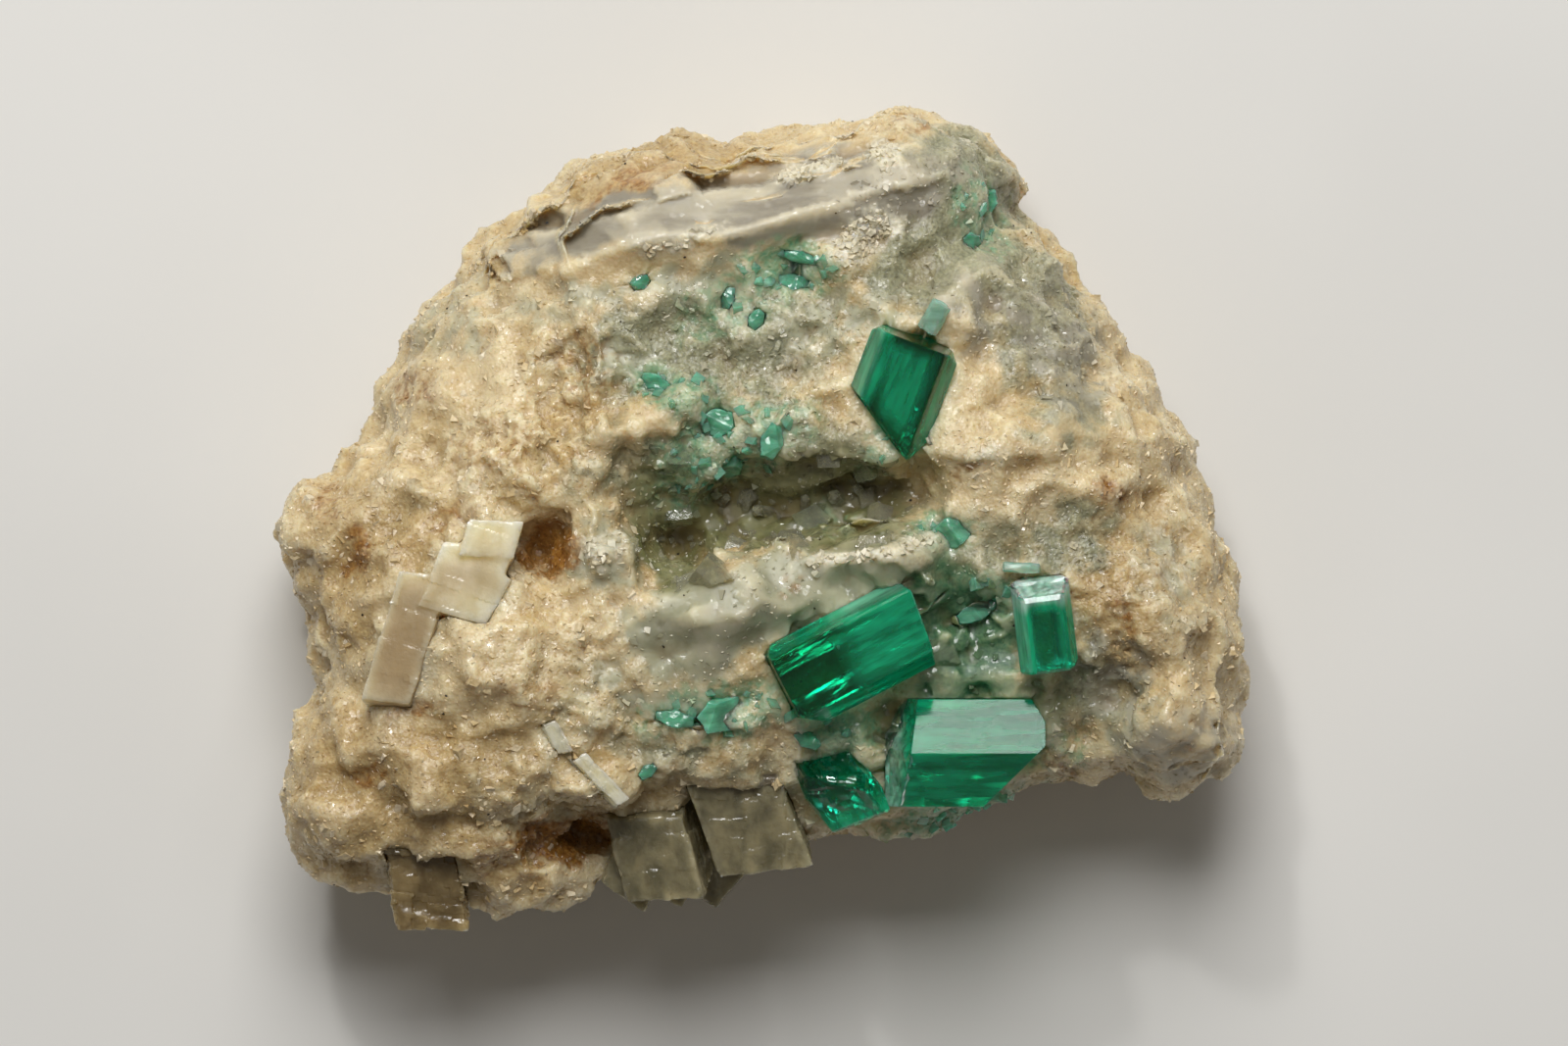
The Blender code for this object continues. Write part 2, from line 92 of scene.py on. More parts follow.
# Zones of the rock, seen from above: soft ellipses of half lengths long and wide, the long
# axis turned anticlockwise from +X. amount is how full the zone is at its middle.
Patch = namedtuple("Patch", "x y long wide turn amount")
ZONES = {
    # smooth cleaved or glassy calcite, with no grains
    "smooth": (
        Patch(-4.0, 20.6, 13.5, 2.5, 11, 1.0), Patch(-8.5, 16.6, 7.0, 1.5, 9, 1.0),
        Patch(3.5, 22.4, 5.5, 1.6, 8, 0.9), Patch(-2.0, 17.6, 7.0, 1.4, 8, 0.9),
        Patch(0.5, -5.6, 8.6, 2.6, 17, 0.3), Patch(-4.6, -7.4, 3.0, 2.8, 0, 0.3),
        Patch(7.0, -3.6, 3.6, 1.8, 20, 0.4), Patch(6.4, -1.2, 2.6, 1.4, 5, 1.0),
        Patch(27.0, -15.0, 4.4, 2.3, 10, 0.4), Patch(13.2, -8.4, 3.6, 3.2, 0, 0.9),
        Patch(10.6, -5.6, 2.2, 2.6, 30, 0.9), Patch(8.2, -13.4, 2.0, 1.6, 0, 0.8),
        Patch(19.6, 6.0, 2.8, 1.5, 5, 0.7), Patch(12.6, 16.0, 2.2, 2.2, 0, 0.5),
        Patch(-18.5, 8.5, 2.6, 2.0, 10, 0.4), Patch(-7.6, 5.6, 3.2, 0.9, 20, 0.5),
        Patch(1.0, 0.0, 7.0, 1.3, 4, 0.7),
    ),
    # the part of the smooth calcite with long flat faces
    "vein": (
        Patch(-8.0, 18.4, 9.5, 2.6, 12, 1.0), Patch(3.0, 20.2, 8.5, 2.8, 9, 1.0),
        Patch(5.0, 23.0, 4.0, 1.2, 10, 0.8),
    ),
    # open, crumbly calcite full of small holes
    "porous": (
        Patch(-14.0, 5.0, 6.0, 3.6, 20, 1.0), Patch(-11.0, 10.0, 4.0, 2.6, 0, 0.8),
        Patch(15.0, 3.6, 4.0, 2.0, 0, 0.2), Patch(-11.0, -9.0, 4.0, 3.0, 0, 0.8),
        Patch(-14.0, -19.0, 4.0, 3.0, 0, 0.8), Patch(-3.0, 5.0, 6.0, 3.6, 10, 0.5),
        Patch(-2.0, 12.0, 6.0, 2.4, 10, 0.3), Patch(22.0, -6.0, 3.0, 6.0, 0, 0.6),
        Patch(-8.0, -14.0, 5.0, 1.8, -14, 0.7), Patch(10.0, 20.0, 3.0, 3.0, 0, 0.4),
    ),
    # buff calcite, browner than the rest
    "buff": (
        Patch(-24.0, -3.6, 6.5, 6.0, 0, 0.7), Patch(-25.0, -17.6, 5.5, 6.0, 0, 0.9),
        Patch(-18.6, -16.4, 5.0, 3.4, 0, 0.8), Patch(-19.0, -22.6, 6.0, 2.6, 0, 0.8),
        Patch(22.0, -5.0, 5.0, 6.5, 0, 0.8), Patch(-12.0, -9.0, 3.0, 3.0, 0, 0.3),
        Patch(-8.0, -17.6, 5.0, 2.0, -12, 0.5), Patch(-23.0, 10.0, 3.0, 3.0, 0, 0.3),
        Patch(-7.0, 23.0, 6.5, 3.0, 16, 1.0), Patch(-11.6, 5.0, 4.0, 2.6, 0, 0.5),
    ),
    # pale grey-green translucent calcite
    "pale": (
        Patch(0.5, -5.6, 8.8, 2.7, 17, 1.0), Patch(-4.6, -7.4, 3.2, 2.8, 0, 0.9),
        Patch(-12.6, 17.6, 3.0, 1.2, 30, 0.5), Patch(-10.0, -2.6, 3.0, 2.4, 0, 0.6),
        Patch(-8.0, 9.6, 2.4, 2.0, 0, 0.5), Patch(-7.0, -11.6, 5.0, 2.2, -10, 0.5),
        Patch(25.6, -4.0, 3.0, 4.0, 0, 0.4), Patch(2.6, 12.0, 3.0, 2.4, 0, 0.5),
        Patch(-15.0, -18.0, 4.6, 3.4, -20, 0.25), Patch(-3.6, 14.6, 5.4, 1.4, 8, 0.6),
        Patch(-12.0, 13.6, 4.0, 1.6, 10, 0.4), Patch(22.6, -12.6, 3.0, 2.6, 0, 0.5),
        Patch(-19.6, 12.6, 3.4, 2.6, 40, 0.4), Patch(8.0, 12.0, 2.2, 3.0, 30, 0.5),
    ),
    # lilac-grey cleaved calcite
    "lilac": (
        Patch(-8.0, 18.6, 9.0, 1.9, 12, 0.9), Patch(3.0, 19.8, 9.0, 2.6, 8, 1.0),
        Patch(5.0, 22.8, 4.0, 1.2, 10, 0.6), Patch(27.0, -15.0, 4.2, 2.4, 10, 0.5),
        Patch(-2.6, -7.0, 4.6, 2.6, 8, 0.3), Patch(19.0, 10.5, 3.0, 5.0, 22, 0.45),
        Patch(13.2, 13.0, 2.4, 3.0, 20, 0.5), Patch(22.6, -10.0, 2.6, 4.0, 0, 0.4),
    ),
    # grey granular rock
    "grey": (
        Patch(-3.0, 11.0, 8.5, 4.0, 10, 0.9), Patch(10.6, 16.2, 4.0, 3.6, 20, 1.0),
        Patch(17.4, 12.6, 3.6, 5.6, 22, 0.8), Patch(-1.0, 3.0, 8.0, 3.6, 8, 0.9),
        Patch(13.0, 21.4, 4.6, 4.0, 0, 0.85), Patch(19.6, -1.6, 3.0, 2.4, 10, 0.7),
        Patch(19.0, -10.0, 3.0, 4.0, 0, 0.6), Patch(12.0, -4.0, 5.0, 4.0, 0, 0.8),
        Patch(-22.5, 0.6, 3.6, 1.8, 24, 0.2), Patch(-11.5, 3.0, 4.0, 2.0, 30, 0.3),
        Patch(19.5, 6.0, 3.4, 1.8, 5, 0.5), Patch(-10.0, -13.4, 4.6, 1.6, -14, 0.3),
        Patch(22.0, -11.6, 2.4, 2.6, 0, 0.6), Patch(14.4, -19.4, 5.0, 2.2, 14, 0.8),
        Patch(-3.0, -15.4, 4.6, 1.8, 0, 0.5),
    ),
    # glassy grey-green quartz of the cleft and between the emeralds
    "glassy": (
        Patch(0.6, 0.4, 8.6, 2.6, 6, 1.0), Patch(6.4, -1.2, 2.8, 1.5, 5, 0.9),
        Patch(-5.8, -2.4, 2.6, 1.8, -40, 1.0), Patch(12.6, -7.4, 4.0, 4.2, 0, 0.9),
        Patch(8.8, -13.4, 2.4, 1.8, 0, 0.9), Patch(4.0, 2.6, 4.4, 1.8, 10, 0.7),
        Patch(18.0, -12.6, 2.4, 2.6, 0, 0.6), Patch(-6.8, 2.6, 2.0, 1.6, 30, 0.8),
    ),
    # rock stained green by the beryl in it
    "green": (
        Patch(-1.6, 4.8, 5.6, 2.6, 14, 0.55), Patch(-5.8, 8.0, 3.0, 1.3, -14, 0.6),
        Patch(-1.6, 13.4, 4.0, 2.0, 20, 0.45), Patch(2.2, 15.8, 3.0, 1.6, -12, 0.6),
        Patch(14.0, 19.0, 1.8, 3.0, 20, 0.5), Patch(-2.6, -12.4, 4.8, 1.9, 6, 0.6),
        Patch(5.0, -13.6, 2.8, 2.0, -30, 0.75), Patch(13.2, -7.2, 3.4, 3.4, 24, 0.9),
        Patch(11.6, -1.2, 2.6, 1.4, 10, 0.55), Patch(12.4, -19.2, 5.0, 1.4, 12, 0.6),
        Patch(7.4, 4.6, 1.4, 2.4, -30, 0.5), Patch(19.0, -15.4, 2.0, 2.2, 0, 0.4),
        Patch(-4.8, 1.6, 3.0, 2.0, 30, 0.35), Patch(4.2, 0.0, 1.6, 1.4, 0, 0.3),
    ),
    # dark green glassy calcite deep between the emeralds, made darker still as painted shade
    "shaded": (
        Patch(12.8, -8.4, 3.4, 3.2, 0, 0.9), Patch(5.0, -13.8, 2.2, 1.4, -30, 0.5),
        Patch(11.2, -4.6, 2.0, 1.6, 30, 0.6),
    ),
    # frosty white calcite, and painted highlights: thin bright lines on ledges and ridges
    "frost_and_glints": (
        Patch(6.4, 17.6, 3.2, 1.1, 30, 0.7), Patch(7.8, 23.0, 1.2, 1.4, 0, 0.9),
        Patch(5.8, -2.9, 2.8, 0.5, 5, 1.0), Patch(9.4, -1.9, 1.6, 0.7, 0, 0.6),
        Patch(3.2, 21.9, 2.6, 0.6, 6, 0.7), Patch(-5.0, 17.4, 3.4, 0.6, 16, 0.5),
        Patch(-10.0, -2.4, 1.8, 1.2, 40, 0.5), Patch(2.4, 9.6, 2.0, 1.6, 0, 0.4),
        Patch(14.0, 3.6, 2.6, 0.9, 8, 0.4), Patch(25.6, -3.0, 2.4, 3.0, 0, 0.3),
    ),
    # painted shade: a darker, greyish tan part of the left calcite crystal
    "dim": (Patch(-22.4, -8.8, 2.6, 4.6, -6, 1.0), Patch(-19.0, -4.0, 3.0, 0.8, -12, 0.5)),
    # iron stain, orange to brown
    "stain": (
        Patch(-13.4, -2.2, 1.9, 1.6, 10, 1.0), Patch(-25.6, -2.6, 0.9, 1.6, -10, 0.7),
        Patch(-12.6, -20.6, 3.2, 1.6, 5, 1.0), Patch(-22.4, -12.6, 1.8, 0.5, 8, 0.7),
        Patch(-24.6, -16.6, 1.4, 0.9, 0, 0.6), Patch(22.6, 1.4, 1.5, 0.7, -20, 0.6),
        Patch(23.0, -6.4, 0.7, 1.6, 10, 0.5), Patch(-19.4, -0.4, 2.2, 0.8, 40, 0.4),
        Patch(-27.6, 0.8, 1.2, 1.6, 0, 0.35), Patch(12.8, 2.4, 1.2, 0.7, 0, 0.4),
        Patch(-9.4, 20.6, 2.6, 0.7, 30, 0.35), Patch(-6.6, 21.8, 2.8, 1.2, 20, 0.25),
        Patch(19.2, -16.2, 1.5, 0.8, -40, 0.5), Patch(-11.0, 9.4, 2.6, 2.6, 0, 0.3),
        Patch(-22.0, 8.0, 1.6, 1.2, 0, 0.4), Patch(1.6, -4.4, 1.2, 0.6, 30, 0.3),
        Patch(-14.6, -11.2, 2.0, 1.4, 0, 0.3), Patch(-16.6, -22.0, 2.4, 1.2, -20, 0.35),
        Patch(-17.0, 4.4, 3.4, 2.0, 20, 0.25), Patch(9.6, 25.0, 1.4, 0.8, 0, 0.4),
    ),
}


# The large emeralds: how each lies, as its solid does, which of its faces are broken, in its own
# axes, how deep the breaks are, and how milky it is at a place along and across its axis. Milky
# places are cloudy beryl, and some paler bands along edges and side faces are painted highlights.
Cut = namedtuple("Cut", "node flakes edge heading climb roll broken depth milky")
CUTS = (
    # emerald_upright: paler bands along its side edges are painted highlights as well as cloudiness
    Cut("emerald_upright", 12, 0.12, 69.5, 10, -3, ((-0.82, 0.54, 0.20), (-0.46, -0.89, 0.0)), 0.4,
        lambda along, across, front: 0.1 + 0.55 * front + 1.2 * smoothstep(1.7, 2.3, abs(across))),
    # emerald_diagonal: its paler upper side face is a painted highlight; its milky right end is
    # cloudy beryl
    Cut("emerald_diagonal", 34, 0.1, 27.5, -4, 2, (), 0,
        lambda along, across, front: 0.12 + 0.75 * smoothstep(-1.4, 1.2, along)
        + 0.5 * smoothstep(1.8, 2.1, across)),
    # emerald_small_right: its pale top end is a frosted cap; its paler side strips are painted
    # highlights
    Cut("emerald_small_right", 14, 0.26, 97, 8, 3, ((0.75, 0.0, 0.66),), 0.15,
        lambda along, across, front: 0.25 + 1.5 * smoothstep(1.2, 1.8, along)
        + 1.1 * smoothstep(0.5, 1.3, across) + 0.7 * smoothstep(-0.7, -1.2, across)),
    Cut("emerald_lower", 22, 0.1, 0, 0, 30, (
        (-0.87, 0.47, 0.15), (-0.93, 0.18, 0.31), (0.71, -0.61, 0.35), (0.86, 0.44, -0.25),
    ), 0.35, lambda along, across, front: 0.6 + smoothstep(-2.9, -4.5, along) * (1 - front)),
    Cut("emerald_broken", 12, 0.12, -70, 4, 8, (
        (-0.40, 0.92, 0.0), (0.50, -0.38, 0.78), (-0.50, 0.25, 0.83),
    ), 0.3, lambda along, across, front: 0.2 + 0.6 * smoothstep(0.8, 2.4, along)),
)

# The calcite crystals: how each lies, the size of its cleavage pieces and the depth of their
# steps, how far its edges are worn, the roughness of its faces, and its mesh.
# edge is the colour of chipped edges and of the painted glow along the rims
Tone = namedtuple("Tone", "name clear cloudy edge transmission")
SMOKY = Tone("smoky_calcite", "#A29A78", "#8C8160", "#C6BD9C", 0.72)
BROWNISH = Tone("iron_stained_calcite", "#8A744C", "#8F7C56", "#B09C72", 0.5)
MILKY = Tone("milky_calcite", "#EAD9AE", "#F4E7C6", "#F6ECD0", 0.15)
Cleft = namedtuple("Cleft", "node heading roll cells depth wear sugar voxel keep tone")
CLEAVED = (
    Cleft("calcite_blocks", 8, 6, (2.6, 2.4, 2.0), 0.12, 18, 0.03, 0.13, 0.35, SMOKY),
    Cleft("calcite_corner_block", -2, 10, (2.2, 1.2, 1.0), 0.3, 16, 0.1, 0.12, 0.4, BROWNISH),
    Cleft("calcite_left_crystal", -12, 6, (4.0, 2.2, 1.6), 0.1, 20, 0.03, 0.12, 0.4, MILKY),
    Cleft("calcite_needle_long", -46, 0, (1.5, 0.5, 0.5), 0.1, 6, 0.05, 0.06, 0.4, MILKY),
    Cleft("calcite_needle_short", -62, 0, (1.5, 0.5, 0.5), 0.1, 6, 0.05, 0.06, 0.4, MILKY),
)

# Quartz points in the cleft: place, width, length, and lean about X, Y and Z in degrees.
QUARTZ_POINTS = (
    (-0.9, 0.6, 0.7, 1.3, (-40, 20, 10)), (0.2, 0.2, 0.8, 1.5, (-30, -30, 40)),
    (2.8, 0.6, 0.7, 1.3, (-45, 10, 5)), (4.9, 0.9, 0.9, 1.6, (-35, -15, 25)),
    (-2.4, 0.8, 0.6, 1.2, (-25, 35, 15)), (6.4, 1.4, 0.7, 1.2, (-30, -40, 0)),
)


def linear(code):
    """sRGB hex to linear red, green, blue and alpha."""
    parts = [int(code[i:i + 2], 16) / 255 for i in (1, 3, 5)]
    return [c / 12.92 if c <= 0.04045 else ((c + 0.055) / 1.055) ** 2.4 for c in parts] + [1.0]


# --- mesh helpers ---


def only(obj):
    """Selects one object and makes it the active one."""
    bpy.ops.object.select_all(action="DESELECT")
    obj.select_set(True)
    bpy.context.view_layer.objects.active = obj


def applied(obj, kind, **settings):
    """Adds a modifier and applies it at once."""
    only(obj)
    modifier = obj.modifiers.new(kind.lower(), kind)
    for key, value in settings.items():
        setattr(modifier, key, value)
    bpy.ops.object.modifier_apply(modifier=modifier.name)


def copy_of_node(node, name):
    """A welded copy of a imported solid, as a new piece to work on."""
    copy = bpy.data.objects.new(name, NODES[node].data.copy())
    copy.data.name = name
    copy.data.materials.clear()
    bpy.context.scene.collection.objects.link(copy)
    only(copy)
    bpy.ops.object.mode_set(mode="EDIT")
    bpy.ops.mesh.select_all(action="SELECT")
    bpy.ops.mesh.remove_doubles(threshold=0.002 * MM)
    bpy.ops.object.mode_set(mode="OBJECT")
    bpy.ops.mesh.customdata_custom_splitnormals_clear()
    bpy.ops.object.shade_flat()
    return copy


def fractures(crystals):
    """Small bright flakes inside the emeralds, where old fractures part the crystal."""
    pick = random.Random(5)
    flakes = []
    for crystal, count in crystals:
        tree = BVHTree.FromObject(crystal, bpy.context.evaluated_depsgraph_get())
        corners = [Vector(c) for c in crystal.bound_box]
        made = 0
        while made < count:
            place = Vector([
                pick.uniform(min(c[i] for c in corners), max(c[i] for c in corners))
                for i in range(3)
            ])
            near, normal, _, gap = tree.find_nearest(place)
            lean = [pick.gauss(0, 0.5) for _ in range(2)] + [pick.uniform(0, math.pi)]
            size = pick.uniform(0.03, 0.11)
            if (place - near).dot(normal) > 0 or gap < 1.6 * size * MM:
                continue
            bpy.ops.mesh.primitive_circle_add(vertices=7, radius=size * MM, fill_type="NGON")
            bpy.ops.transform.resize(value=(1.6, 1, 1))
            flake = bpy.context.object
            flake.rotation_euler = lean
            flake.location = place
            bpy.ops.object.transform_apply()
            flakes.append(flake)
            made += 1
    finished(joined("emerald_fractures", flakes), "emerald", fracture_gloss())


def copy_of_mesh(piece):
    made = bpy.data.objects.new("copy", piece.data.copy())
    bpy.context.scene.collection.objects.link(made)
    return made


def finished(piece, slot, material, *stands_for):
    """Gives a piece its material and its place in the frame."""
    piece.data.materials.clear()
    piece.data.materials.append(material)
    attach(piece, "root")
    if stands_for:
        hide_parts(*stands_for)
    return piece


def coordinates(mesh):
    """Vertex places in millimetres, one row each."""
    places = np.empty(len(mesh.vertices) * 3, np.float32)
    mesh.vertices.foreach_get("co", places)
    return places.reshape(-1, 3) / MM


def set_coordinates(mesh, places):
    mesh.vertices.foreach_set("co", (places * MM).astype(np.float32).ravel())
    mesh.update()


def normals(mesh):
    facing = np.empty(len(mesh.vertices) * 3, np.float32)
    mesh.vertices.foreach_get("normal", facing)
    return facing.reshape(-1, 3)


def wandering(places, size, reach):
    """The places, each moved sideways by a slow noise, so that zone edges aren't ellipses."""
    moved = [noise.noise_vector(Vector(p) / size) for p in places.tolist()]
    return places + reach * np.array(moved)


def zone_weight(places, kind):
    """How far each point belongs to a kind of zone, 0 to 1."""
    free = np.ones(len(places))
    for patch in ZONES[kind]:
        turn = math.radians(patch.turn)
        dx, dy = places[:, 0] - patch.x, places[:, 1] - patch.y
        u = (dx * math.cos(turn) + dy * math.sin(turn)) / patch.long
        v = (dy * math.cos(turn) - dx * math.sin(turn)) / patch.wide
        free *= 1 - patch.amount * np.exp(-((u * u + v * v) ** 2) * 0.7)
    return 1 - free


def set_group(obj, name, weights):
    """A vertex group of weights, in 64 steps."""
    group = obj.vertex_groups.new(name=name)
    steps = np.round(np.clip(weights, 0, 1) * 64).astype(int)
    for step in np.unique(steps[steps > 0]):
        group.add(np.nonzero(steps == step)[0].tolist(), float(step) / 64, "REPLACE")


def group_weights(obj, name):
    index = obj.vertex_groups[name].index
    weights = np.zeros(len(obj.data.vertices), np.float32)
    for vertex in obj.data.vertices:
        for entry in vertex.groups:
            if entry.group == index:
                weights[vertex.index] = entry.weight
    return weights


def attribute_values(mesh, name):
    values = np.empty(len(mesh.vertices), np.float32)
    mesh.attributes[name].data.foreach_get("value", values)
    return values


def set_attribute(mesh, name, values):
    layer = mesh.attributes.new(name, "FLOAT", "POINT")
    layer.data.foreach_set("value", np.asarray(values, np.float32))


def bar_turn(heading, climb, roll):
    """The turn of a crystal whose axis points along heading and climb, rolled about itself."""
    return Euler([math.radians(v) for v in (roll, -climb, heading)]).to_matrix()


def displaced(obj, name, kind, size, strength, group=None, mid=0.5, **settings):
    """Pushes the surface in and out along its normals by a solid texture."""
    texture = bpy.data.textures.new(name, kind)
    texture.noise_scale = size * MM
    for key, value in settings.items():
        setattr(texture, key, value)
    applied(
        obj, "DISPLACE", texture=texture, texture_coords="LOCAL", strength=strength * MM,
        mid_level=mid, vertex_group=group or "",
    )
    bpy.data.textures.remove(texture)


def hollows(mesh, rounds):
    """How deep each vertex lies below its smoothed surroundings, in millimetres."""
    places = coordinates(mesh)
    ends = np.empty(len(mesh.edges) * 2, np.int32)
    mesh.edges.foreach_get("vertices", ends)
    one, two = ends.reshape(-1, 2).T
    count = np.bincount(one, minlength=len(places)) + np.bincount(two, minlength=len(places))
    smooth = places.copy()
    for _ in range(rounds):
        for axis in range(3):
            column = smooth[:, axis]
            total = np.bincount(one, column[two], len(places))
            total += np.bincount(two, column[one], len(places))
            smooth[:, axis] = total / np.maximum(count, 1)
    return ((smooth - places) * normals(mesh)).sum(axis=1)


# --- pieces ---


def near_faces(places, crystals, reach):
    """1 at the places within reach of the crystals and 0 elsewhere."""
    surface = BVHTree.FromObject(crystals, bpy.context.evaluated_depsgraph_get())
    found = [surface.find_nearest(p, reach * MM)[0] is not None for p in (places * MM).tolist()]
    return np.array(found, dtype=float)


def crystals_joined(nodes):
    """The crystals of these nodes in one mesh, for the rock to be fitted to."""
    copies = [copy_of_node(node, "fit") for node in nodes]
    only(copies[0])
    for copy in copies:
        copy.select_set(True)
    bpy.ops.object.join()
    return bpy.context.object


def cleavage_cells(own, size, seed):
    """A height from 0 to 1 at each place of a body broken along planes square to its own axes."""
    rows = own[:, 1] / size[1] + 0.25 * np.sin(own[:, 0] / size[0])
    layers = own[:, 2] / size[2]
    heights = np.empty(len(own))
    for i, (along, row, layer) in enumerate(zip(own[:, 0] / size[0], rows, layers)):
        shift = noise.cell(Vector((math.floor(row) + 0.5, math.floor(layer) + 0.5, seed)))
        heights[i] = noise.cell(Vector((along + 3 * shift, row, layer + 20 * seed)))
    return heights


def broken_flat(rock, weight, size, heading, tilt):
    """Breaks part of the rock into flat cleavage faces, each tilted a little its own way."""
    places = coordinates(rock.data)
    weight = weight * smoothstep(-0.1, 0.2, normals(rock.data)[:, 2])
    chosen = np.flatnonzero(weight > 0.02)
    own = wandering(places[chosen], 5.0, 0.5) @ np.array(bar_turn(heading, 0, 0))
    rows = np.floor(own[:, 1] / size[1])
    columns = np.floor((own[:, 0] + 0.4 * own[:, 1]) / size[0] + 0.37 * rows)
    pick = random.Random(heading)
    for row, column in sorted(set(zip(rows.tolist(), columns.tolist()))):
        members = chosen[(rows == row) & (columns == column)]
        lean = [pick.uniform(-tilt, tilt) for _ in range(2)]
        if len(members) < 40:
            continue
        middle = places[members].mean(axis=0)
        sides = np.column_stack([places[members, :2] - middle[:2], np.ones(len(members))])
        plane = np.linalg.lstsq(sides, places[members, 2], rcond=None)[0]
        plane[:2] = np.clip(plane[:2], -0.8, 0.8) + lean
        rise = sides @ plane - places[members, 2]
        places[members, 2] += weight[members] * rise * smoothstep(2.2, 1.2, rise)
    set_coordinates(rock.data, places)


def matrix_rock(material):
    rock = copy_of_node("matrix_rock", "rock")
    applied(rock, "REMESH", mode="VOXEL", voxel_size=ROCK_VOXEL * MM, use_smooth_shade=True)

    places = coordinates(rock.data)
    above_rest = smoothstep(0.2, REST_BAND, places[:, 2])
    upward = smoothstep(0.05, 0.4, normals(rock.data)[:, 2])
    smooth = zone_weight(wandering(places, 3.0, 0.7), "smooth") * upward
    smooth *= smoothstep(8.0, 12.0, places[:, 2])
    set_group(rock, "rough", above_rest * (1 - 0.93 * smooth))
    set_group(rock, "smooth", above_rest * smooth)
    set_group(rock, "porous", above_rest * (1 - smooth) * (0.3 + 0.7 * zone_weight(places, "porous")))
    displaced(rock, "lumps", "CLOUDS", 1.8, 0.62, "rough", noise_depth=2)
    displaced(rock, "crumbs", "VORONOI", 1.1, -0.26, "rough", mid=0.3)
    displaced(rock, "grains", "VORONOI", 0.5, -0.13, "rough", mid=0.3)
    displaced(
        rock, "pits", "CLOUDS", 0.9, -0.55, "porous", mid=0.0, contrast=3.0, intensity=0.5,
    )
    applied(rock, "SMOOTH", vertex_group="smooth", iterations=14, factor=0.6)
    displaced(rock, "ripples", "CLOUDS", 2.4, 0.2, "smooth")
    above_rest *= smoothstep(8.0, 12.0, places[:, 2])
    vein = above_rest * upward * smoothstep(0.1, 0.5, zone_weight(places, "vein"))
    broken_flat(rock, vein, (9.0, 2.6), VEIN_TURN, 0.04)
    broken_flat(rock, 0.5 * vein, (3.4, 1.1), VEIN_TURN, 0.05)
    broken_flat(rock, above_rest * smooth * (1 - vein), (1.9, 1.2), 24, 0.16)
    applied(rock, "SMOOTH", vertex_group="smooth", iterations=3, factor=0.5)

    crystals = crystals_joined(EMERALD_NODES)
    by_emerald = near_faces(places, crystals, CRYSTAL_REACH)
    bpy.data.objects.remove(crystals)
    crystals = crystals_joined(EMERALD_NODES + CALCITE_NODES)
    set_group(rock, "near", np.ones(len(places)))
    applied(
        rock, "VERTEX_WEIGHT_PROXIMITY", vertex_group="near", target=crystals,
        proximity_mode="GEOMETRY", proximity_geometry={"FACE"}, falloff_type="SMOOTH",
        min_dist=CRYSTAL_REACH * MM, max_dist=0.45 * MM,
    )
    applied(
        rock, "SHRINKWRAP", target=crystals, wrap_method="NEAREST_SURFACEPOINT",
        wrap_mode="OUTSIDE_SURFACE", offset=CRYSTAL_FILM * MM, vertex_group="near",
    )
    bpy.data.objects.remove(crystals)

    set_attribute(rock.data, "by_crystal", group_weights(rock, "near"))
    set_attribute(rock.data, "by_emerald", by_emerald)
    set_attribute(rock.data, "upward", upward)
    rock.vertex_groups.clear()
    triangles = sum(len(p.vertices) - 2 for p in rock.data.polygons)
    applied(rock, "DECIMATE", ratio=min(1.0, ROCK_TRIANGLES / triangles))
    places = coordinates(rock.data)
    places[:, 2] = np.maximum(places[:, 2], 0.0)
    set_coordinates(rock.data, places)

    moved = wandering(places, 2.2, 0.9)
    face_up = smoothstep(6.0, 11.0, places[:, 2])
    upward = attribute_values(rock.data, "upward")
    for kind in ZONES:
        share = upward if kind in ("smooth", "vein", "lilac") else 1.0
        set_attribute(rock.data, kind, zone_weight(moved, kind) * face_up * share)
    smooth = attribute_values(rock.data, "smooth")
    set_attribute(rock.data, "rough", 1 - smoothstep(0.1, 0.6, smooth))
    # hollow: depth below the smoothed surface, which the rock's colour turns into painted shade in
    # the hollows and a painted highlight on the raised places
    set_attribute(rock.data, "hollow", hollows(rock.data, 30))
    return finished(rock, "matrix", material, "matrix_rock")


def crumb_shapes():
    """The shapes that the grains are made of, about one unit across."""
    shapes = []
    for number in range(3):
        bpy.ops.mesh.primitive_cube_add(size=1.0, rotation=(math.radians(45), math.radians(35.3), 0))
        bpy.ops.object.transform_apply()
        bpy.ops.object.mode_set(mode="EDIT")
        bpy.ops.mesh.select_all(action="SELECT")
        bpy.ops.transform.resize(value=(1.0, 1.0 - 0.15 * number, 0.72 + 0.16 * number))
        bpy.ops.object.mode_set(mode="OBJECT")
        shapes.append(bpy.context.object)
    for number in range(3):
        bpy.ops.mesh.primitive_ico_sphere_add(subdivisions=1, radius=0.55)
        bpy.ops.object.mode_set(mode="EDIT")
        bpy.ops.mesh.select_all(action="SELECT")
        bpy.ops.transform.vertex_random(offset=0.35, seed=number)
        bpy.ops.object.mode_set(mode="OBJECT")
        shapes.append(bpy.context.object)
    return shapes


def typed(sockets, name, kind):
    return next(s for s in sockets if s.name == name and s.type == kind)


def random_between(tree, kind, low, high, seed):
    types = {"FLOAT": "VALUE", "FLOAT_VECTOR": "VECTOR", "INT": "INT"}
    node = add_node(tree, "FunctionNodeRandomValue", data_type=kind)
    typed(node.inputs, "Min", types[kind]).default_value = low
    typed(node.inputs, "Max", types[kind]).default_value = high
    typed(node.inputs, "Seed", "INT").default_value = seed
    return typed(node.outputs, "Value", types[kind])


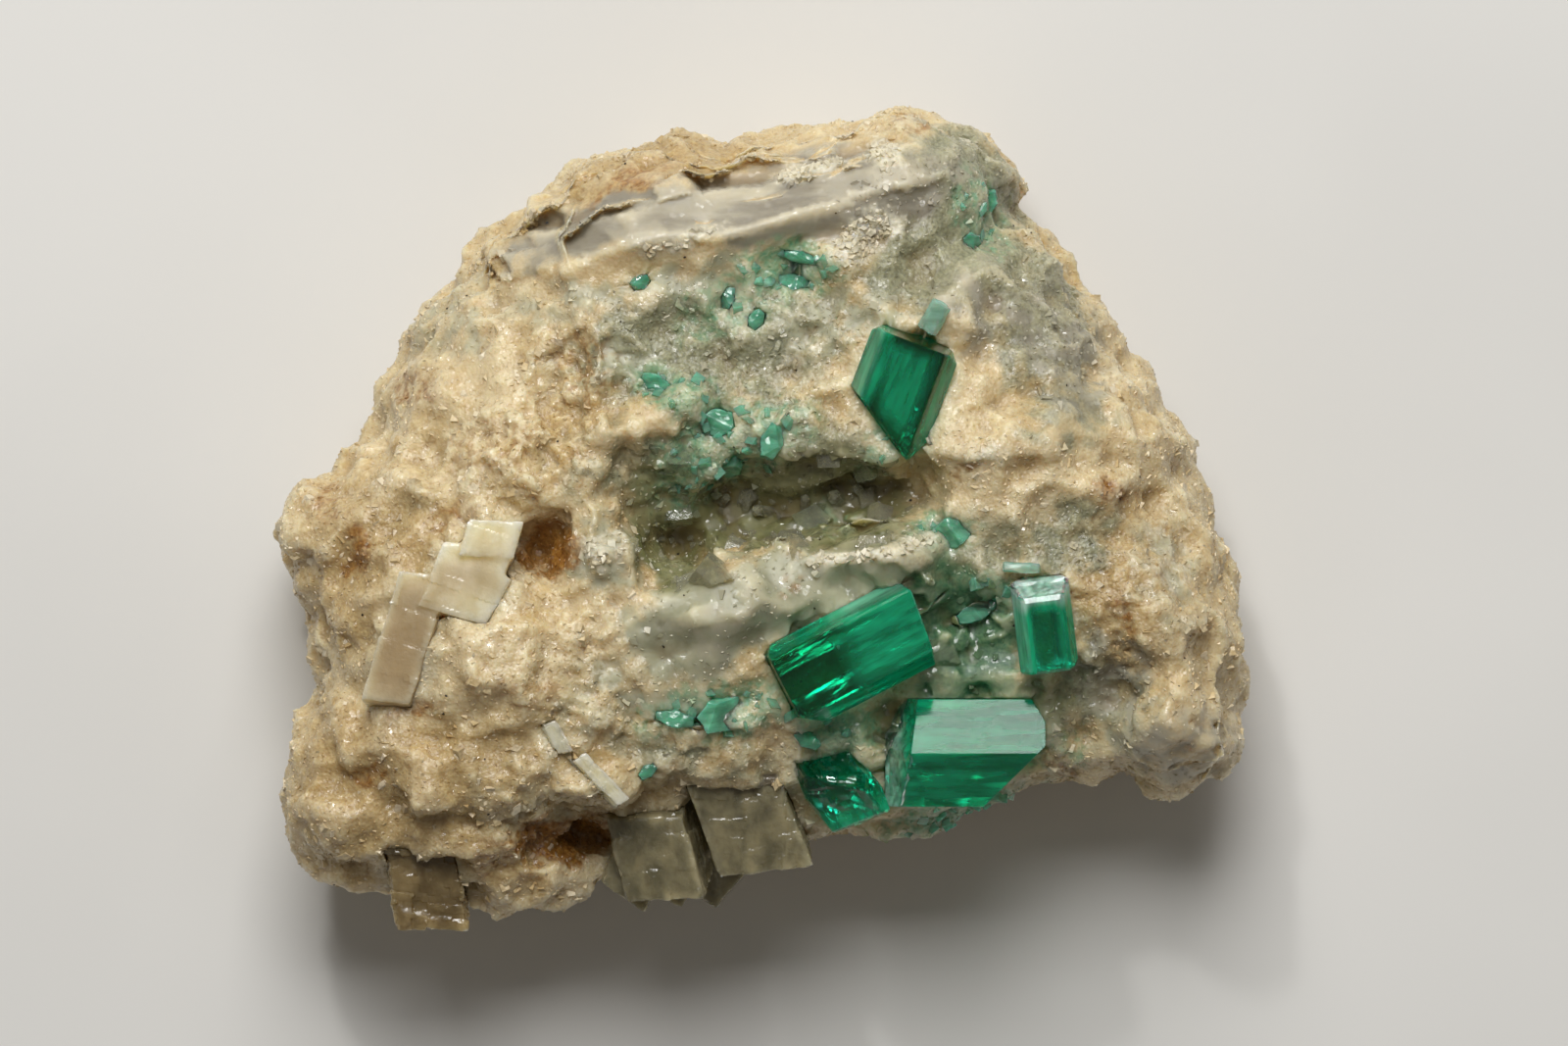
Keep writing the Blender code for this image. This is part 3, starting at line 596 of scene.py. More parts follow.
def scattered(name, surface, shapes, apart, sizes, where, seed, sink=0.1):
    """Shapes scattered over a surface at least apart millimetres from each other, made one mesh.

    where is the share of places used at each vertex of the surface, and sizes are in
    millimetres. Each grain gets a random tint, and the zones of the place it sits on.
    """
    piece = bpy.data.objects.new(name, surface.data.copy())
    bpy.context.scene.collection.objects.link(piece)
    set_attribute(piece.data, "where", where)
    holder = bpy.data.collections.new(name)
    for shape in shapes:
        holder.objects.link(shape)

    tree = bpy.data.node_groups.new(name, "GeometryNodeTree")
    tree.interface.new_socket("Mesh", in_out="INPUT", socket_type="NodeSocketGeometry")
    tree.interface.new_socket("Grains", in_out="OUTPUT", socket_type="NodeSocketGeometry")
    start = add_node(tree, "NodeGroupInput")
    share = add_node(tree, "GeometryNodeInputNamedAttribute", data_type="FLOAT", Name="where")
    spots = add_node(
        tree, "GeometryNodeDistributePointsOnFaces",
        {"Mesh": start.outputs["Mesh"], "Density Factor": typed(share.outputs, "Attribute", "VALUE")},
        distribute_method="POISSON", Distance_Min=apart * MM, Density_Max=2 / (apart * MM) ** 2,
        Seed=seed,
    )
    lowered = add_node(
        tree, "ShaderNodeVectorMath", {"Vector": spots.outputs["Normal"]}, operation="SCALE",
        Scale=-sink * MM,
    )
    sunk = add_node(
        tree, "GeometryNodeSetPosition",
        {"Geometry": spots.outputs["Points"], "Offset": lowered.outputs["Vector"]},
    )
    kinds = add_node(
        tree, "GeometryNodeCollectionInfo", Collection=holder, Separate_Children=True,
        Reset_Children=True,
    )
    grains = add_node(
        tree, "GeometryNodeInstanceOnPoints",
        {
            "Points": sunk.outputs["Geometry"],
            "Instance": kinds.outputs["Instances"],
            "Instance Index": random_between(tree, "INT", 0, len(shapes) - 1, seed + 1),
            "Rotation": random_between(tree, "FLOAT_VECTOR", (0, 0, 0), (2 * math.pi,) * 3, seed + 2),
            "Scale": random_between(
                tree, "FLOAT_VECTOR", (sizes[0] * MM,) * 3, (sizes[1] * MM,) * 3, seed + 3
            ),
        },
        Pick_Instance=True,
    )
    tinted = add_node(
        tree, "GeometryNodeStoreNamedAttribute",
        {"Geometry": grains.outputs["Instances"]},
        data_type="FLOAT", domain="INSTANCE", Name="tint",
    )
    tree.links.new(
        random_between(tree, "FLOAT", 0.0, 1.0, seed + 4), typed(tinted.inputs, "Value", "VALUE")
    )
    real = add_node(tree, "GeometryNodeRealizeInstances", {"Geometry": tinted.outputs["Geometry"]})
    end = add_node(tree, "NodeGroupOutput")
    tree.links.new(real.outputs["Geometry"], end.inputs["Grains"])
    applied(piece, "NODES", node_group=tree)
    bpy.data.collections.remove(holder)
    bpy.data.node_groups.remove(tree)
    return piece


def sugar_grains(rock, material):
    """Loose-looking calcite grains on the rough parts of the rock."""
    mesh = rock.data
    places = coordinates(mesh)
    rough = attribute_values(mesh, "rough")
    exposed = smoothstep(-0.5, 0.1, normals(mesh)[:, 2]) * smoothstep(1.0, 2.5, places[:, 2])
    exposed *= rough * (1 - attribute_values(mesh, "by_emerald"))
    patchy = np.array([noise.noise(Vector(p) / 2.5) for p in places.tolist()])
    shapes = crumb_shapes()
    left = places[:, 0] < 0
    grains = [
        scattered(
            "calcite_grains", rock, shapes, 0.62, (0.35, 0.7),
            exposed * smoothstep(-0.3, 0.4, patchy) * 0.6, 11, sink=0.2,
        ),
        scattered("left_fine_grains", rock, shapes, 0.335, (0.15, 0.3), exposed * left, 23, 0.09),
        scattered("right_fine_grains", rock, shapes, 0.32, (0.15, 0.3), exposed * ~left, 29, 0.09),
    ]
    # Raised white grains over the frosty zone, part of which is painted highlight lines.
    frost_and_glints = smoothstep(0.3, 0.8, attribute_values(mesh, "frost_and_glints"))
    grains.append(scattered("frosty_grains", rock, shapes, 0.3, (0.2, 0.5), frost_and_glints, 37, sink=0.0))
    for piece in grains:
        finished(piece, "matrix", material)
    for shape in shapes:
        bpy.data.objects.remove(shape)


def clear_fragments(rock):
    """Angular clear calcite filling the hollows between the emeralds and along the cleft."""
    mesh = rock.data
    facing = smoothstep(0.1, 0.5, normals(mesh)[:, 2])
    glassy = smoothstep(0.25, 0.6, attribute_values(mesh, "glassy")) * facing
    away = 1 - smoothstep(0.1, 0.5, attribute_values(mesh, "by_crystal"))
    shapes = [broken_cube(seed) for seed in range(8)]
    large = scattered(
        "clear_calcite_fragments", rock, shapes, 2.0, (1.6, 3.2), glassy * away * 0.6, 61, sink=0.7,
    )
    small = scattered(
        "small_calcite_fragments", rock, shapes, 0.6, (0.35, 1.0), glassy * away * 0.3, 67, sink=0.15,
    )
    for shape in shapes:
        bpy.data.objects.remove(shape)
    clear = clear_mineral("clear_calcite", "#B9B48A", (0.74, 0.8, 0.42, 1.0), 200.0, 0.05, 0.85)
    for piece in (large, small):
        finished(piece, "calcite", clear)


def crystal_copy(node):
    """A copy of a crystal's solid with whole faces and softened edges."""
    crystal = copy_of_node(node, f"{node}_crystal")
    bpy.ops.object.mode_set(mode="EDIT")
    bpy.ops.mesh.select_all(action="SELECT")
    bpy.ops.mesh.dissolve_limited(angle_limit=math.radians(1))
    bpy.ops.object.mode_set(mode="OBJECT")
    return crystal


def roughened(crystal, turn, directions, cuts, size, depth):
    """Breaks up the faces that look in the given directions of the crystal's own axes."""
    facing = [turn @ Vector(direction).normalized() for direction in directions]
    only(crystal)
    bpy.ops.object.mode_set(mode="EDIT")
    bpy.ops.mesh.select_mode(type="FACE")
    bpy.ops.mesh.select_all(action="DESELECT")
    bpy.ops.object.mode_set(mode="OBJECT")
    for face in crystal.data.polygons:
        face.select = any(face.normal.dot(way) > 0.99 for way in facing)
    bpy.ops.object.mode_set(mode="EDIT")
    bpy.ops.mesh.quads_convert_to_tris()
    bpy.ops.mesh.subdivide(number_cuts=cuts)
    bpy.ops.mesh.select_less()
    bpy.ops.object.mode_set(mode="OBJECT")
    group = crystal.vertex_groups.new(name="broken")
    group.add([v.index for v in crystal.data.vertices if v.select], 1.0, "REPLACE")
    displaced(crystal, "splinters", "VORONOI", size, -depth, "broken", mid=0.2)
    crystal.vertex_groups.clear()


def divided(crystal, cuts):
    """The same faces in smaller triangles, to carry patterns."""
    only(crystal)
    bpy.ops.object.mode_set(mode="EDIT")
    bpy.ops.mesh.select_all(action="SELECT")
    bpy.ops.mesh.quads_convert_to_tris()
    bpy.ops.mesh.subdivide(number_cuts=cuts)
    bpy.ops.object.mode_set(mode="OBJECT")


def uneven_root(crystal):
    """Presses uneven hollows into the faces that the rock holds."""
    set_group(crystal, "root", smoothstep(-0.05, -0.3, normals(crystal.data)[:, 2]))
    displaced(crystal, "root", "VORONOI", 0.9, -0.35, "root", mid=0.0)
    crystal.vertex_groups.clear()


def add_bar_pattern(crystal, turn, milky):
    """Places in the crystal's own axes for its streaks, and how milky each point is."""
    places = coordinates(crystal.data)
    middle = (places.min(axis=0) + places.max(axis=0)) / 2
    own = (places - middle) @ np.array(turn)
    layer = crystal.data.attributes.new("bar", "FLOAT_VECTOR", "POINT")
    layer.data.foreach_set("vector", (own * (0.16, 1.0, 1.0)).astype(np.float32).ravel())
    front = smoothstep(0.96, 0.995, normals(crystal.data) @ np.array(turn)[:, 2])
    set_attribute(crystal.data, "milky", np.clip(milky(own[:, 0], own[:, 1], front), 0, 2))


def emeralds(rock):
    deep = emerald("emerald", 720.0, "#1CC08C", 0.7, 0.3)
    fractured = emerald("fractured_emerald", 110.0, "#86D9B0", 0.75, 0.4)
    pale = emerald("pale_emerald", 60.0, "#B4E6CE", 0.55, 0.4)
    large = []
    for cut in CUTS:
        crystal = crystal_copy(cut.node)
        applied(
            crystal, "BEVEL", width=cut.edge * MM, segments=1, limit_method="ANGLE",
            angle_limit=math.radians(20),
        )
        turn = bar_turn(cut.heading, cut.climb, cut.roll)
        if cut.broken:
            roughened(crystal, turn, cut.broken, 5, 0.7, cut.depth)
        divided(crystal, 4)
        uneven_root(crystal)
        add_bar_pattern(crystal, turn, cut.milky)
        finished(crystal, "emerald", deep, cut.node)
        large.append((crystal, cut.flakes))
    fractures(large)
    for node in EMERALD_NODES:
        if node in {cut.node for cut in CUTS}:
            continue
        chip = crystal_copy(node)
        applied(
            chip, "BEVEL", width=0.06 * MM, segments=1, limit_method="ANGLE",
            angle_limit=math.radians(20),
        )
        divided(chip, 3)
        displaced(chip, "splinters", "VORONOI", 0.7, -0.2, mid=0.55)
        add_bar_pattern(chip, bar_turn(0, 0, 0), lambda along, across, front: 0.9 + 0 * along)
        finished(chip, "emerald", pale if node in PALE else fractured, node)
    green = attribute_values(rock.data, "green") * attribute_values(rock.data, "rough")
    shapes = crumb_shapes()
    shards = scattered(
        "emerald_shards", rock, shapes, 0.7, (0.35, 0.9), smoothstep(0.35, 0.6, green) * 0.5, 41,
        sink=0.12,
    )
    specks = scattered(
        "black_specks", rock, shapes, 1.2, (0.1, 0.2), 0.03 + 0 * green, 53, sink=0.02,
    )
    finished(specks, "matrix", black_mineral())
    for shape in shapes:
        bpy.data.objects.remove(shape)
    add_bar_pattern(shards, bar_turn(0, 0, 0), lambda along, across, front: 0.8 + 0 * along)
    finished(shards, "emerald", fractured)


def wide_loss(crystal, rounds):
    """How far each place lies outside the same body worn round, in mm: most at its edges."""
    places = coordinates(crystal.data)
    round_one = copy_of_mesh(crystal)
    applied(round_one, "SMOOTH", iterations=rounds, factor=0.8)
    loss = np.linalg.norm(coordinates(round_one.data) - places, axis=1)
    bpy.data.objects.remove(round_one)
    return loss


def calcite_crystals():
    """Calcite blocks with cleavage steps, and edges chipped here and there."""
    tones = {tone.name: cleavage_calcite(*tone) for tone in (SMOKY, BROWNISH, MILKY)}
    for cleft in CLEAVED:
        crystal = copy_of_node(cleft.node, f"{cleft.node}_cleaved")
        applied(
            crystal, "REMESH", mode="VOXEL", voxel_size=cleft.voxel * MM, use_smooth_shade=False
        )
        mesh = crystal.data
        places = coordinates(mesh)
        middle = (places.min(axis=0) + places.max(axis=0)) / 2
        own = (places - middle) @ np.array(bar_turn(cleft.heading, 0, cleft.roll))
        steps = cleavage_cells(own, np.array(cleft.cells), 3)
        steps += 0.5 * cleavage_cells(own, np.array(cleft.cells) * 0.45, 4)
        places -= normals(mesh) * (cleft.depth * steps / 1.5)[:, None]
        set_coordinates(mesh, places)

        worn = copy_of_mesh(crystal)
        applied(worn, "SMOOTH", iterations=cleft.wear, factor=0.7)
        soft = coordinates(worn.data)
        bpy.data.objects.remove(worn)
        spots = np.array([noise.noise(Vector(p) / 0.9) for p in places.tolist()])
        share = smoothstep(-0.25, 0.3, spots)[:, None]
        loss = np.linalg.norm(soft - places, axis=1) * share[:, 0]
        set_coordinates(mesh, places + (soft - places) * share)
        set_attribute(mesh, "chipped", smoothstep(0.03, 0.16, loss))
        # rim: how near each place is to the crystal's edges, for a painted glow along them
        set_attribute(mesh, "rim", np.clip(2.4 * wide_loss(crystal, 60), 0, 1))
        displaced(crystal, "sugar", "CLOUDS", 0.5, cleft.sugar)
        layer = mesh.attributes.new("own", "FLOAT_VECTOR", "POINT")
        stretch = own * (1.0, 0.6, 0.6)
        layer.data.foreach_set("vector", stretch.astype(np.float32).ravel())
        # dim marks where the material paints shade on the left crystal
        set_attribute(mesh, "dim", zone_weight(wandering(places, 1.0, 0.3), "dim"))
        applied(crystal, "DECIMATE", ratio=cleft.keep)
        finished(
            crystal, "calcite",
            tones[cleft.tone.name], cleft.node,
        )


def broken_cube(seed):
    """A piece about one unit across, broken off along a few planes."""
    pick = random.Random(seed)
    bpy.ops.mesh.primitive_cube_add(size=1.0)
    fragment = bpy.context.object
    bpy.ops.object.mode_set(mode="EDIT")
    bpy.ops.mesh.select_all(action="SELECT")
    bpy.ops.transform.resize(value=(1.0, pick.uniform(0.6, 0.9), pick.uniform(0.4, 0.8)))
    for _ in range(6):
        way = Vector([pick.uniform(-1, 1) for _ in range(3)]).normalized()
        bpy.ops.mesh.select_all(action="SELECT")
        bpy.ops.mesh.bisect(
            plane_co=way * pick.uniform(0.26, 0.46), plane_no=way, use_fill=True, clear_outer=True
        )
    bpy.ops.object.mode_set(mode="OBJECT")
    return fragment


def quartz_point(x, y, width, length, lean, surface):
    """A six-sided clear crystal with a pointed end."""
    height = surface.ray_cast(Vector((x, y, 60)) * MM, Vector((0, 0, -1)))[0].z
    bpy.ops.mesh.primitive_cylinder_add(vertices=6, radius=width / 2 * MM, depth=length * MM)
    point = bpy.context.object
    bpy.ops.object.mode_set(mode="EDIT")
    bpy.ops.mesh.select_mode(type="FACE")
    bpy.ops.mesh.select_all(action="DESELECT")
    bpy.ops.object.mode_set(mode="OBJECT")
    for face in point.data.polygons:
        face.select = face.normal.z > 0.9
    bpy.ops.object.mode_set(mode="EDIT")
    bpy.ops.mesh.extrude_region_move(
        TRANSFORM_OT_translate={"value": (0, 0, 0.45 * width * MM)}
    )
    bpy.ops.transform.resize(value=(0.12, 0.2, 1))
    bpy.ops.object.mode_set(mode="OBJECT")
    point.rotation_euler = [math.radians(v) for v in lean]
    point.location = (x * MM, y * MM, height + 0.1 * length * MM)
    bpy.ops.object.transform_apply()
    return point


def joined(name, parts):
    only(parts[0])
    for part in parts:
        part.select_set(True)
    if len(parts) > 1:
        bpy.ops.object.join()
    parts[0].name = name
    parts[0].data.name = name
    return parts[0]


def quartz_points(rock):
    surface = BVHTree.FromObject(rock, bpy.context.evaluated_depsgraph_get())
    points = [quartz_point(*row, surface) for row in QUARTZ_POINTS]
    finished(
        joined("quartz_points", points), "calcite",
        clear_mineral("quartz", "#D2D2B4", (0.72, 0.74, 0.58, 1.0), 120.0, 0.02, 0.9),
    )


# --- materials ---


def add_node(tree, kind, links=(), **settings):
    """Adds a node, with settings by property or input name, and its links in."""
    node = tree.nodes.new(kind)
    for key, value in settings.items():
        if key in node.inputs:
            node.inputs[key].default_value = value
        elif hasattr(node, key):
            setattr(node, key, value)
        else:
            node.inputs[key.replace("_", " ")].default_value = value
    for socket, source in dict(links).items():
        if isinstance(source, bpy.types.NodeSocket):
            tree.links.new(source, node.inputs[socket])
        else:
            node.inputs[socket].default_value = source
    return node


def new_material(name):
    made = bpy.data.materials.new(name)
    made.use_nodes = True
    made.node_tree.nodes.clear()
    return made, made.node_tree


def output(tree, surface, volume=None):
    out = add_node(tree, "ShaderNodeOutputMaterial")
    tree.links.new(surface, out.inputs["Surface"])
    if volume:
        tree.links.new(volume, out.inputs["Volume"])


def size_noise(tree, place, size, detail=3.0, contrast=(0.35, 0.65)):
    """Noise whose spots are size millimetres across, stretched to 0 and 1."""
    spots = add_node(
        tree, "ShaderNodeTexNoise", {"Vector": place}, Scale=1 / (size * MM), Detail=detail
    )
    return add_node(
        tree, "ShaderNodeMapRange", {"Value": spots.outputs["Fac"]},
        interpolation_type="SMOOTHSTEP", From_Min=contrast[0], From_Max=contrast[1],
    ).outputs["Result"]


def mixed(tree, share, one, two):
    """Colour one where share is 0 and two where it is 1. Each is a hex code or a socket."""
    mix = add_node(tree, "ShaderNodeMix", data_type="RGBA")
    tree.links.new(share, mix.inputs["Factor"])
    for name, colour in (("A", one), ("B", two)):
        socket = next(s for s in mix.inputs if s.name == name and s.type == "RGBA")
        if isinstance(colour, str):
            socket.default_value = linear(colour)
        else:
            tree.links.new(colour, socket)
    return next(s for s in mix.outputs if s.type == "RGBA")


def calculated(tree, operation, one, two, clamp=False):
    maths = add_node(
        tree, "ShaderNodeMath", {0: one, 1: two}, operation=operation, use_clamp=clamp
    )
    return maths.outputs[0]


def ranged(tree, value, low, high, to_low=0.0, to_high=1.0):
    return add_node(
        tree, "ShaderNodeMapRange", {"Value": value}, interpolation_type="SMOOTHSTEP",
        From_Min=low, From_Max=high, To_Min=to_low, To_Max=to_high,
    ).outputs["Result"]


def painted(tree, name):
    return add_node(tree, "ShaderNodeAttribute", attribute_name=name).outputs["Fac"]


def broken_edge(tree, name, spots, amount=1.6):
    """A painted zone whose edge follows the spots of a noise, and whose middle stays whole."""
    zone = painted(tree, name)
    edge = calculated(tree, "MULTIPLY", zone, calculated(tree, "SUBTRACT", 1.0, zone))
    shift = calculated(tree, "MULTIPLY", calculated(tree, "SUBTRACT", spots, 0.5), amount)
    inside = calculated(tree, "ADD", zone, calculated(tree, "MULTIPLY", shift, edge))
    return ranged(tree, inside, 0.1, 0.8)


def cleavage_streaks(tree, place):
    """Straight-edged light and dark bands along the cleavage of the vein."""
    turned = add_node(
        tree, "ShaderNodeMapping", {"Vector": place},
        Rotation=(0, 0, -math.radians(VEIN_TURN)), Scale=(180.0, 700.0, 180.0),
    )
    bands = add_node(
        tree, "ShaderNodeTexNoise", {"Vector": turned.outputs["Vector"]}, Scale=1.0, Detail=4.0
    )
    return ranged(tree, bands.outputs["Fac"], 0.42, 0.6)


def faceted_normal(tree, place, size, tilt):
    """The surface's own normal, tilted another way over each small facet."""
    cells = add_node(tree, "ShaderNodeTexVoronoi", {"Vector": place}, Scale=1 / (size * MM))
    spread = add_node(
        tree, "ShaderNodeVectorMath", {0: cells.outputs["Color"], 1: (0.5, 0.5, 0.5)},
        operation="SUBTRACT",
    )
    lean = add_node(
        tree, "ShaderNodeVectorMath", {0: spread.outputs["Vector"]}, operation="SCALE", Scale=tilt
    )
    surface = add_node(tree, "ShaderNodeNewGeometry")
    leaned = add_node(
        tree, "ShaderNodeVectorMath", {0: surface.outputs["Normal"], 1: lean.outputs["Vector"]},
        operation="ADD",
    )
    unit = add_node(
        tree, "ShaderNodeVectorMath", {0: leaned.outputs["Vector"]}, operation="NORMALIZE"
    )
    return unit.outputs["Vector"]


def calcite_rock():
    """Sugary, iron-stained calcite: cream and buff grains that let light in a little way."""
    made, tree = new_material("sugary_calcite")
    place = add_node(tree, "ShaderNodeTexCoord").outputs["Object"]
    wide = size_noise(tree, place, 5.0)
    middle = size_noise(tree, place, 1.6)
    small = size_noise(tree, place, 0.7, detail=2.0)
    fine = size_noise(tree, place, 0.26, detail=2.0, contrast=(0.25, 0.75))
    tint = painted(tree, "tint")

    colour = mixed(tree, wide, "#DAC598", "#C7AA72")
    colour = mixed(tree, calculated(tree, "MULTIPLY", middle, 0.5), colour, "#E8D8AE")
    colour = mixed(tree, calculated(tree, "MULTIPLY", small, 0.28), colour, "#B28E56")
    colour = mixed(tree, calculated(tree, "MULTIPLY", fine, 0.22), colour, "#F4E8C6")
    streaks = cleavage_streaks(tree, place)
    zones = (
        ("buff", middle, fine, "#B39562", "#C6AD7A"),
        ("grey", middle, fine, "#848266", "#A6A382"),
        ("pale", middle, middle, "#A09F82", "#B6B396"),
        ("lilac", middle, streaks, "#938B79", "#B0A893"),
        ("glassy", middle, middle, "#69693F", "#8E8C62"),
        ("green", small, fine, "#6BA27D", "#A2B48B"),
        # shaded: dark green calcite and painted shade deep between the emeralds
        ("shaded", middle, fine, "#35603F", "#5F8058"),
        # frosty calcite, and thin painted highlights along ledges and ridges
        ("frost_and_glints", small, fine, "#C9BF9E", "#EFE7CF"),
        ("stain", small, fine, "#7E4F12", "#B07F3A"),
    )
    weights = {}
    for kind, spots, pattern, one, two in zones:
        weights[kind] = broken_edge(tree, kind, spots)
        colour = mixed(tree, weights[kind], colour, mixed(tree, pattern, one, two))
    # Painted shade, with some brown stain, in the hollows, and a painted highlight on the raised
    # places, both read from the hollow attribute.
    depth = painted(tree, "hollow")
    deep = calculated(tree, "MULTIPLY", ranged(tree, depth, 0.08, 0.6), 0.36)
    bright = calculated(tree, "MULTIPLY", ranged(tree, depth, -0.05, -0.5), 0.3)
    colour = mixed(tree, deep, colour, "#A07E48")
    colour = mixed(tree, bright, colour, "#EDE3C4")
    colour = mixed(tree, ranged(tree, tint, 0.55, 1.0, 0.0, 0.45), colour, "#F0E8D2")

    clear = calculated(tree, "MAXIMUM", weights["glassy"], weights["pale"])
    clear = calculated(tree, "MAXIMUM", clear, weights["lilac"])
    facets = add_node(
        tree, "ShaderNodeTexVoronoi", {"Vector": place}, Scale=1 / (0.24 * MM), feature="F1"
    )
    relief = calculated(
        tree, "ADD", calculated(tree, "MULTIPLY", fine, 0.5), facets.outputs["Distance"]
    )
    height = calculated(tree, "MULTIPLY", relief, ranged(tree, clear, 0.0, 1.0, 1.0, 0.12))
    bump = add_node(
        tree, "ShaderNodeBump", {"Height": height}, Strength=0.45, Distance=0.12 * MM
    )
    grain = ranged(tree, tint, 0.0, 0.01)
    skin = add_node(
        tree, "ShaderNodeBsdfPrincipled",
        {
            "Base Color": colour,
            "Roughness": ranged(tree, clear, 0.0, 1.0, 0.45, 0.48),
            "Subsurface Weight": calculated(
                tree, "MULTIPLY", ranged(tree, clear, 0.0, 1.0, 0.8, 0.95),
                calculated(tree, "SUBTRACT", 1.0, grain),
            ),
            "Normal": bump.outputs["Normal"],
            "Coat Weight": calculated(
                tree, "ADD", calculated(tree, "MULTIPLY", weights["glassy"], 0.5),
                calculated(tree, "SUBTRACT", 0.4, calculated(tree, "MULTIPLY", grain, 0.1)),
            ),
            "Coat Normal": faceted_normal(tree, place, 0.3, 0.9),
        },
        Subsurface_Scale=1.8 * MM, Subsurface_Radius=(1.0, 0.85, 0.6), IOR=1.56,
        Coat_Roughness=0.12, Coat_IOR=1.5,
    )
    through = add_node(tree, "ShaderNodeBsdfTranslucent", {"Color": colour})
    whole = add_node(
        tree, "ShaderNodeMixShader",
        {
            0: calculated(tree, "MULTIPLY", grain, 0.08),
            1: skin.outputs["BSDF"],
            2: through.outputs["BSDF"],
        },
    )
    output(tree, whole.outputs["Shader"])
    return made


def emerald(name, density, body, milk, even=0.1):
    """Beryl coloured by chromium: clear, glassy, and a deep bluish green where it is thick.

    body is the colour of light that comes back from its fractures and inclusions, which milk
    says how much of there is, and even how level it is. The streaks run along the crystal.
    """
    made, tree = new_material(name)
    bar = add_node(tree, "ShaderNodeAttribute", attribute_name="bar").outputs["Vector"]
    streaks = add_node(tree, "ShaderNodeTexNoise", {"Vector": bar}, Scale=1.7, Detail=6.0)
    milky = painted(tree, "milky")
    haze = calculated(
        tree, "MULTIPLY", ranged(tree, streaks.outputs["Fac"], 0.3, 0.75, even, 1.0),
        ranged(tree, milky, 0.0, 1.0),
    )
    lines = add_node(tree, "ShaderNodeTexNoise", {"Vector": bar}, Scale=7.0, Detail=3.0)
    bump = add_node(
        tree, "ShaderNodeBump", {"Height": lines.outputs["Fac"]}, Strength=0.25,
        Distance=0.03 * MM,
    )
    glass = add_node(
        tree, "ShaderNodeBsdfPrincipled",
        {
            "Base Color": mixed(tree, ranged(tree, milky, 0.0, 0.3), "#8FC4AC", "#FFFFFF"),
            "Roughness": ranged(tree, haze, 0.0, 1.0, 0.015, 0.12),
            "Normal": bump.outputs["Normal"],
        },
        Transmission_Weight=1.0, IOR=1.577,
    )
    cloud = add_node(
        tree, "ShaderNodeBsdfPrincipled",
        {
            # Milky above 1 turns the colour paler: frosted ends, and painted highlight bands on some
            # emeralds.
            "Base Color": mixed(tree, ranged(tree, milky, 1.0, 2.0), body, "#CDEFDD"),
            "Normal": bump.outputs["Normal"],
        },
        Roughness=0.12, IOR=1.577, Subsurface_Weight=1.0,
        Subsurface_Scale=1.0 * MM, Subsurface_Radius=(0.3, 1.0, 0.8),
    )
    whole = add_node(
        tree, "ShaderNodeMixShader",
        {
            0: calculated(tree, "MULTIPLY", haze, milk),
            1: glass.outputs["BSDF"],
            2: cloud.outputs["BSDF"],
        },
    )
    depth = add_node(
        tree, "ShaderNodeVolumeAbsorption", Color=(0.02, 0.86, 0.75, 1.0), Density=density
    )
    output(tree, whole.outputs["Shader"], depth.outputs["Volume"])
    return made


def vein_calcite():
    """The vein's calcite: lilac-grey, clear enough for light to spread far inside, and smooth."""
    made, tree = new_material("lilac_vein_calcite")
    place = add_node(tree, "ShaderNodeTexCoord").outputs["Object"]
    colour = mixed(tree, cleavage_streaks(tree, place), "#B3AB94", "#CFC7AF")
    colour = mixed(
        tree, calculated(tree, "MULTIPLY", size_noise(tree, place, 2.2), 0.6), colour, "#BCB498"
    )
    bump = add_node(
        tree, "ShaderNodeBump", {"Height": size_noise(tree, place, 0.5)}, Strength=0.2,
        Distance=0.05 * MM,
    )
    skin = add_node(
        tree, "ShaderNodeBsdfPrincipled", {"Base Color": colour, "Normal": bump.outputs["Normal"]},
        Roughness=0.26, IOR=1.58, Subsurface_Weight=0.6, Subsurface_Scale=0.5 * MM,
        Subsurface_Radius=(1.0, 0.95, 0.85),
    )
    output(tree, skin.outputs["BSDF"])
    return made


def fracture_gloss():
    """A gas-filled fracture inside an emerald, which mirrors the light that reaches it."""
    made, tree = new_material("fracture_in_emerald")
    film = add_node(
        tree, "ShaderNodeBsdfPrincipled", Base_Color=linear("#8FE8C4"), Metallic=1.0,
        Roughness=0.2,
    )
    output(tree, film.outputs["BSDF"])
    return made


def black_mineral():
    """Grains of a black sulphide, dull but for a few faces."""
    made, tree = new_material("black_sulphide")
    place = add_node(tree, "ShaderNodeTexCoord").outputs["Object"]
    tone = mixed(tree, size_noise(tree, place, 0.1), "#16130F", "#2B241B")
    grain = add_node(tree, "ShaderNodeBsdfPrincipled", {"Base Color": tone}, Roughness=0.35)
    output(tree, grain.outputs["BSDF"])
    return made


def clear_mineral(name, milk, colour, density, roughness, transmission):
    """Clear calcite or quartz, a little milky, with the tinge that its thickness gives."""
    made, tree = new_material(name)
    place = add_node(tree, "ShaderNodeTexCoord").outputs["Object"]
    cloud = size_noise(tree, place, 1.2, detail=5.0, contrast=(0.3, 0.75))
    bump = add_node(
        tree, "ShaderNodeBump", {"Height": size_noise(tree, place, 0.35)}, Strength=0.3,
        Distance=0.05 * MM,
    )
    glass = add_node(
        tree, "ShaderNodeBsdfPrincipled",
        {
            "Base Color": mixed(
                tree, calculated(tree, "MULTIPLY", painted(tree, "green"), 0.8),
                mixed(tree, cloud, "#EFEDD8", milk), "#62A476",
            ),
            "Transmission Weight": ranged(
                tree, cloud, 0.0, 1.0, transmission, 0.75 * transmission
            ),
            "Normal": bump.outputs["Normal"],
        },
        Roughness=roughness, IOR=1.55,
    )
    depth = add_node(tree, "ShaderNodeVolumeAbsorption", Color=colour, Density=density)
    output(tree, glass.outputs["BSDF"], depth.outputs["Volume"])
    return made


